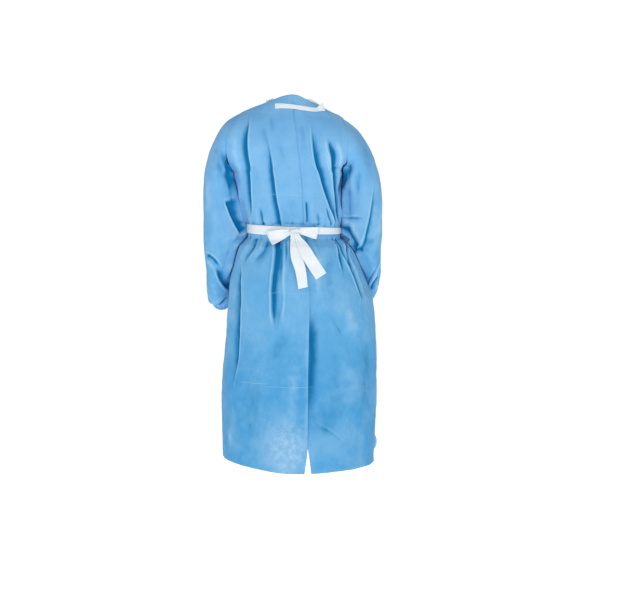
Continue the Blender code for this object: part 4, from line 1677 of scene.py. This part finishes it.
def start_material(name: str) -> tuple[Material, NodeKit, Node]:
    """Make a material, and give it with its node kit and its shader."""
    made = bpy.data.materials.new(name)
    made.use_nodes = True
    return made, NodeKit(made.node_tree), made.node_tree.nodes["Principled BSDF"]


def cloth_inputs(kit: NodeKit) -> tuple[Socket, Socket, Outputs, Outputs]:
    """Add what every cloth reads: its place, its folds' shade, the fibre web and the crumple."""
    place = kit.add("ShaderNodeTexCoord").outputs["Object"]
    cut = kit.add("ShaderNodeUVMap", uv_map=CLOTH_MAP).outputs[0]
    fold = kit.add("ShaderNodeAttribute", attribute_name=FOLD_SHADE).outputs["Fac"]
    return place, fold, kit.shared("fibre web", fibre_web, cut), kit.shared("crumple", crumpled, place)


@dataclass(frozen=True)
class PackingCrease:
    """A level crease left by the way the gown was folded in its packet."""

    height: float
    start: float
    end: float
    strength: float = 1.0


@dataclass(frozen=True)
class BlueCloth:
    """The light-blue non-woven cloth, with painted shade deep and strong in its folds and a painted
    highlight on its ridges.

    upper is the lighter colour above the waist, skirt the colour just below it and hem the darker one near
    the hem.
    """

    name: str = "blue cloth"
    upper: Colour = (0.150, 0.420, 0.740, 1.0)
    skirt: Colour = (0.112, 0.390, 0.700, 1.0)
    hem: Colour = (0.060, 0.330, 0.650, 1.0)
    # deep is painted shade for the bottoms of folds; pale tints random patches and crease lines, and is
    # also the painted highlight on ridges.
    deep: Colour = (0.004, 0.175, 0.400, 1.0)
    pale: Colour = (0.340, 0.610, 0.830, 1.0)
    # The colour of a paler, blotchy patch near the hem, left of the lap.
    worn: Colour = (0.480, 0.690, 0.850, 1.0)
    worn_place: tuple[float, float, float] = (-0.014, -0.120, -1.080)
    worn_shape: tuple[float, float, float] = (11.0, 7.0, 7.4)
    waist_z: float = -0.400
    waist_blend: float = 0.05
    line_width: float = 0.0022
    line_fade: float = 0.02
    roughness: float = 0.62
    sheen: float = 0.04
    creases: tuple[PackingCrease, ...] = (
        PackingCrease(-0.289, -0.060, 0.070, 0.5),
        PackingCrease(-0.590, -0.060, 0.090, 0.5),
        PackingCrease(-0.874, -0.150, -0.085, 1.0),
        PackingCrease(-0.884, -0.075, 0.050, 0.8),
        PackingCrease(-0.892, 0.150, 0.240, 0.3),
    )

    def packing(self, kit: NodeKit, place: Socket) -> Socket:
        """Draw the packing creases as thin lines, by height and across."""
        parts = kit.add("ShaderNodeSeparateXYZ", {0: place}).outputs
        wobble = kit.times(kit.math("SUBTRACT", kit.noise(place, 14.0, 2.0), 0.5), 0.012)
        height = kit.math("ADD", parts["Z"], wobble)
        total: object = 0.0
        for crease in self.creases:
            off = kit.math("ABSOLUTE", kit.math("SUBTRACT", height, crease.height))
            line = kit.spread(off, 0.0, self.line_width, crease.strength, 0.0)
            begins = kit.spread(parts["X"], crease.start - self.line_fade, crease.start, 0.0, 1.0)
            ends = kit.spread(parts["X"], crease.end, crease.end + self.line_fade, 1.0, 0.0)
            total = kit.math("MAXIMUM", total, kit.times(kit.times(line, begins), ends))
        return total

    def rubbed(self, kit: NodeKit, place: Socket) -> Socket:
        """Mask the paler patch near the hem, left of the lap, in small pale blotches."""
        off = kit.vector("SUBTRACT", place, self.worn_place).outputs[0]
        far = kit.vector("LENGTH", kit.stretch(off, self.worn_shape)).outputs["Value"]
        blotches = kit.spread(kit.noise(place, 60.0, 3.0, 0.6), 0.34, 0.70, 0.32, 0.88)
        return kit.times(kit.spread(far, 0.25, 1.1, 0.75, 0.0), blotches)

    def colour(self, kit: NodeKit, place: Socket, fold: Socket, web: Outputs, lines: Socket) -> Socket:
        """Mix the colour by height, patches, the folds' painted shade and highlight, crease lines, a paler
        patch and the fibre web.

        Args:
            kit: Adds the nodes.
            place: The place on the gown.
            fold: How deep in a fold it lies, below 0 on a ridge.
            web: The outputs of the fibre web.
            lines: How strongly a crease line shows there.

        Returns:
            The colour.
        """
        height = kit.add("ShaderNodeSeparateXYZ", {0: place}).outputs["Z"]
        above_hem = kit.spread(height, -0.95, -0.60, 0.0, 1.0)
        low, high = self.waist_z - self.waist_blend, self.waist_z + self.waist_blend
        patches = kit.spread(kit.noise(place, 8.0, 4.0, 0.6), 0.38, 0.70, 0.0, 0.30)
        colour = kit.blend(above_hem, self.hem, self.skirt)
        for share, other in (
            (kit.spread(height, low, high, 0.0, 1.0), self.upper),
            (patches, self.pale),
            # Painted highlight on the ridges, then painted shade deep in the folds.
            (kit.spread(fold, -0.75, -0.05, 0.62, 0.0), self.pale),
            (kit.spread(fold, 0.02, 1.0, 0.0, 1.0), self.deep),
            (lines, self.pale),
            # A paler, blotchy patch near the hem.
            (self.rubbed(kit, place), self.worn),
        ):
            colour = kit.blend(share, colour, other)
        cloudy = kit.math("SUBTRACT", web["Cloud"], 0.5)
        tone = kit.total(0.92, (web["Web"], 0.16), (web["Points"], -0.05), (cloudy, 0.12))
        return kit.blend(1.0, colour, kit.grey(tone), "MULTIPLY")

    def make(self) -> Material:
        """Build the material."""
        made, kit, shader = start_material(self.name)
        place, fold, web, wrinkles = cloth_inputs(kit)
        packed = self.packing(kit, place)
        crackle = kit.times(wrinkles["Lines"], kit.spread(fold, 0.0, 0.4, 0.12, 0.0))
        lines = kit.math("MAXIMUM", crackle, kit.times(packed, 0.5))
        relief = kit.total(
            0.0, (web["Web"], 0.00006), (web["Points"], -0.00005), (wrinkles["Dents"], 0.0012),
            (wrinkles["Lines"], 0.0002), (packed, 0.0008),
        )
        kit.feed(shader, {
            "Base Color": self.colour(kit, place, fold, web, lines),
            "Normal": kit.bump(0.75, relief),
            "Roughness": kit.total(self.roughness, (web["Cloud"], 0.14)),
            # Less specular deep in the folds: painted shade on the cloth's reflection.
            "Specular IOR Level": kit.spread(fold, 0.0, 0.8, 0.24, 0.02),
            "Sheen Weight": self.sheen,
            "Sheen Roughness": 0.45,
        })
        return made


@dataclass(frozen=True)
class WhiteTape:
    """The white non-woven tape, faintly ribbed along its length."""

    name: str = "white tape"
    colour: Colour = (0.800, 0.860, 0.895, 1.0)
    # shade is painted shade in the tape's folds, tinted by the blue cloth around it; it also tints faint
    # random clouds of the web.
    shade: Colour = (0.520, 0.680, 0.800, 1.0)
    roughness: float = 0.66
    specular: float = 0.30

    def make(self) -> Material:
        """Build the material."""
        made, kit, shader = start_material(self.name)
        _, fold, web, wrinkles = cloth_inputs(kit)
        # Painted shade in the folds, then faint random clouds.
        colour = kit.blend(kit.spread(fold, 0.05, 0.8, 0.0, 0.7), self.colour, self.shade)
        colour = kit.blend(kit.spread(web["Cloud"], 0.35, 0.7, 0.0, 0.12), colour, self.shade)
        tone = kit.total(0.95, (web["Web"], 0.10), (web["Points"], -0.05))
        relief = kit.total(
            0.0, (web["Web"], 0.00008), (web["Points"], -0.00008), (wrinkles["Dents"], 0.0006)
        )
        kit.feed(shader, {
            "Base Color": kit.blend(1.0, colour, kit.grey(tone), "MULTIPLY"),
            "Normal": kit.bump(0.6, relief),
            "Roughness": self.roughness,
            "Specular IOR Level": self.specular,
        })
        return made


def aim_at(thing: Object, place: Sequence[float], target: Sequence[float]) -> None:
    """Put a lamp or the camera into the scene at a place, turned towards a target."""
    thing.location = place
    thing.rotation_euler = (Vector(target) - Vector(place)).to_track_quat("-Z", "Y").to_euler()
    bpy.context.scene.collection.objects.link(thing)


@dataclass(frozen=True)
class Studio:
    """A plain pale floor, soft light all round and the camera.

    lamps gives the name, place, size in metres and power in watts of each lamp.
    """

    eye: Eye
    floor_z: float = -1.52
    floor_half: float = 30.0
    sky: float = 0.41
    seen_sky: float = 1.05
    floor_glow: float = 0.66
    white: Colour = (1.0, 1.0, 1.0, 1.0)
    lit: tuple[float, float, float] = (0.05, 0.0, -0.55)
    lamps: tuple[tuple[str, tuple[float, float, float], float, float], ...] = (
        ("key", (-0.7, -4.0, 0.8), 2.0, 46.0),
        ("fill", (2.2, -3.4, 0.0), 2.4, 13.0),
        ("crown", (0.1, -0.6, 2.4), 2.6, 10.0),
        ("back", (0.4, 3.4, 1.0), 2.6, 24.0),
    )

    def make(self) -> None:
        """Build the floor, the lamps, the sky and the camera."""
        self.floor()
        for name, place, size, power in self.lamps:
            light = bpy.data.lights.new(name, "AREA")
            light.size = size
            light.energy = power
            aim_at(bpy.data.objects.new(name, light), place, self.lit)
        self.world()
        self.camera()
        bpy.context.scene.view_settings.view_transform = "Standard"
        bpy.context.scene.view_settings.look = "None"

    def floor(self) -> None:
        """Lay the floor."""
        shape = bmesh.new()
        bmesh.ops.create_grid(shape, x_segments=1, y_segments=1, size=self.floor_half)
        bmesh.ops.translate(shape, verts=shape.verts, vec=(0, 0, self.floor_z))
        pale, kit, shader = start_material("pale floor")
        place = kit.add("ShaderNodeTexCoord").outputs["Object"]
        kit.feed(shader, {
            "Base Color": kit.grey(kit.spread(kit.noise(place, 3.0), 0.3, 0.7, 0.93, 0.97)),
            "Emission Color": self.white,
            "Emission Strength": self.floor_glow,
            "Roughness": 0.9,
        })
        add_object("floor", shape, pale, rounded=False)

    def world(self) -> None:
        """Surround the scene with even light that the camera sees as white."""
        world = bpy.data.worlds.new("studio")
        bpy.context.scene.world = world
        world.use_nodes = True
        kit = NodeKit(world.node_tree)
        camera_ray = kit.add("ShaderNodeLightPath").outputs["Is Camera Ray"]
        strength = kit.spread(camera_ray, 0.0, 1.0, self.sky, self.seen_sky)
        kit.feed(world.node_tree.nodes["Background"], {"Color": self.white, "Strength": strength})

    def camera(self) -> None:
        """Place the camera behind the gown at the photograph's angle."""
        eye = self.eye
        data = bpy.data.cameras.new("camera")
        data.lens = eye.lens
        data.sensor_width = 36.0
        data.clip_end = 100.0
        camera = bpy.data.objects.new("camera", data)
        aim_at(camera, (eye.across, -eye.distance, eye.height), (eye.across, 0.0, eye.aim))
        bpy.context.scene.camera = camera


@dataclass(frozen=True)
class Cut:
    """The flat size a piece was cut to, as width, length and area, and how it is held."""

    width: float
    length: float
    area: float
    held: str
    rests_on: tuple[str, ...]

    def declare(self, piece: Object, with_pieces: Sequence[Object] = ()) -> None:
        """Read the names of the pieces that this one rests on, and do nothing more."""
        list(self.rests_on)


BODY_PIECES = ("cloth_front", "cloth_back_left", "cloth_back_right")
BOW_RESTS = ("tape_knot", "cloth_back_left", "cloth_back_right")
CUTS: dict[str, Cut] = {
    "cloth_front": Cut(0.680, 1.150, 0.640, "hung", ("cloth_back_left", "cloth_back_right")),
    "cloth_back_left": Cut(0.400, 1.190, 0.385, "hung", ("cloth_front", "cloth_back_right")),
    "cloth_back_right": Cut(0.410, 1.190, 0.390, "hung", ("cloth_front",)),
    "cloth_sleeve_left": Cut(0.520, 0.640, 0.240, "hung", ("cloth_front", "cloth_back_left")),
    "cloth_sleeve_right": Cut(0.520, 0.640, 0.235, "hung", ("cloth_front", "cloth_back_right")),
    "cloth_cuff_left": Cut(0.270, 0.025, 0.0066, "gathered", ("cloth_sleeve_left",)),
    "cloth_cuff_right": Cut(0.270, 0.025, 0.0066, "gathered", ("cloth_sleeve_right",)),
    "tape_belt": Cut(0.028, 0.900, 0.0228, "stretched", BODY_PIECES),
    "tape_tail_left": Cut(0.036, 0.176, 0.0060, "hung", BOW_RESTS),
    "tape_tail_right": Cut(0.036, 0.164, 0.0057, "hung", BOW_RESTS),
    "tape_loop_left": Cut(0.040, 0.134, 0.0052, "folded", BOW_RESTS),
    "tape_loop_right": Cut(0.034, 0.120, 0.0039, "folded", BOW_RESTS),
    "tape_neck_strip": Cut(0.024, 0.132, 0.0029, "laid", ("cloth_back_left", "cloth_back_right")),
    "tape_neck_binding": Cut(0.020, 0.420, 0.0069, "folded", BODY_PIECES),
}


def surface_area(piece: Object) -> float:
    """Measure the area of a piece's cloth, one side of it."""
    shape = bmesh.new()
    shape.from_mesh(piece.data)
    area = sum(face.calc_area() for face in shape.faces)
    shape.free()
    return area


def main() -> None:
    """Load the frame, dress the gown piece by piece and set the studio."""
    logging.basicConfig(level=logging.INFO, format="%(name)s: %(message)s")
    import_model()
    form, eye = GownForm(), Eye()
    folds = FoldMap(form, eye)
    folds.lay_all()
    LOG.info("%d folds laid", len(folds.routes))
    blue, white = BlueCloth().make(), WhiteTape().make()
    pieces = BodyPanels(form, folds).make(blue) + Sleeves(form, folds).make(blue)
    pieces += WaistTie(form).make(white) + NeckTapes(form, folds).make(white)
    knot = next(piece for piece in pieces if piece.name == "tape_knot")
    for piece in pieces:
        node = piece.name.split("_", 1)[1]
        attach(piece, "root")
        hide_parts(node)
        if piece.name in CUTS:
            CUTS[piece.name].declare(piece, [knot] if node == "belt" else [])
        faces, area = len(piece.data.polygons), surface_area(piece)
        LOG.info("%s: %d faces, %.4f square metres", piece.name, faces, area)
    Studio(eye).make()


if __name__ == "__main__":
    main()
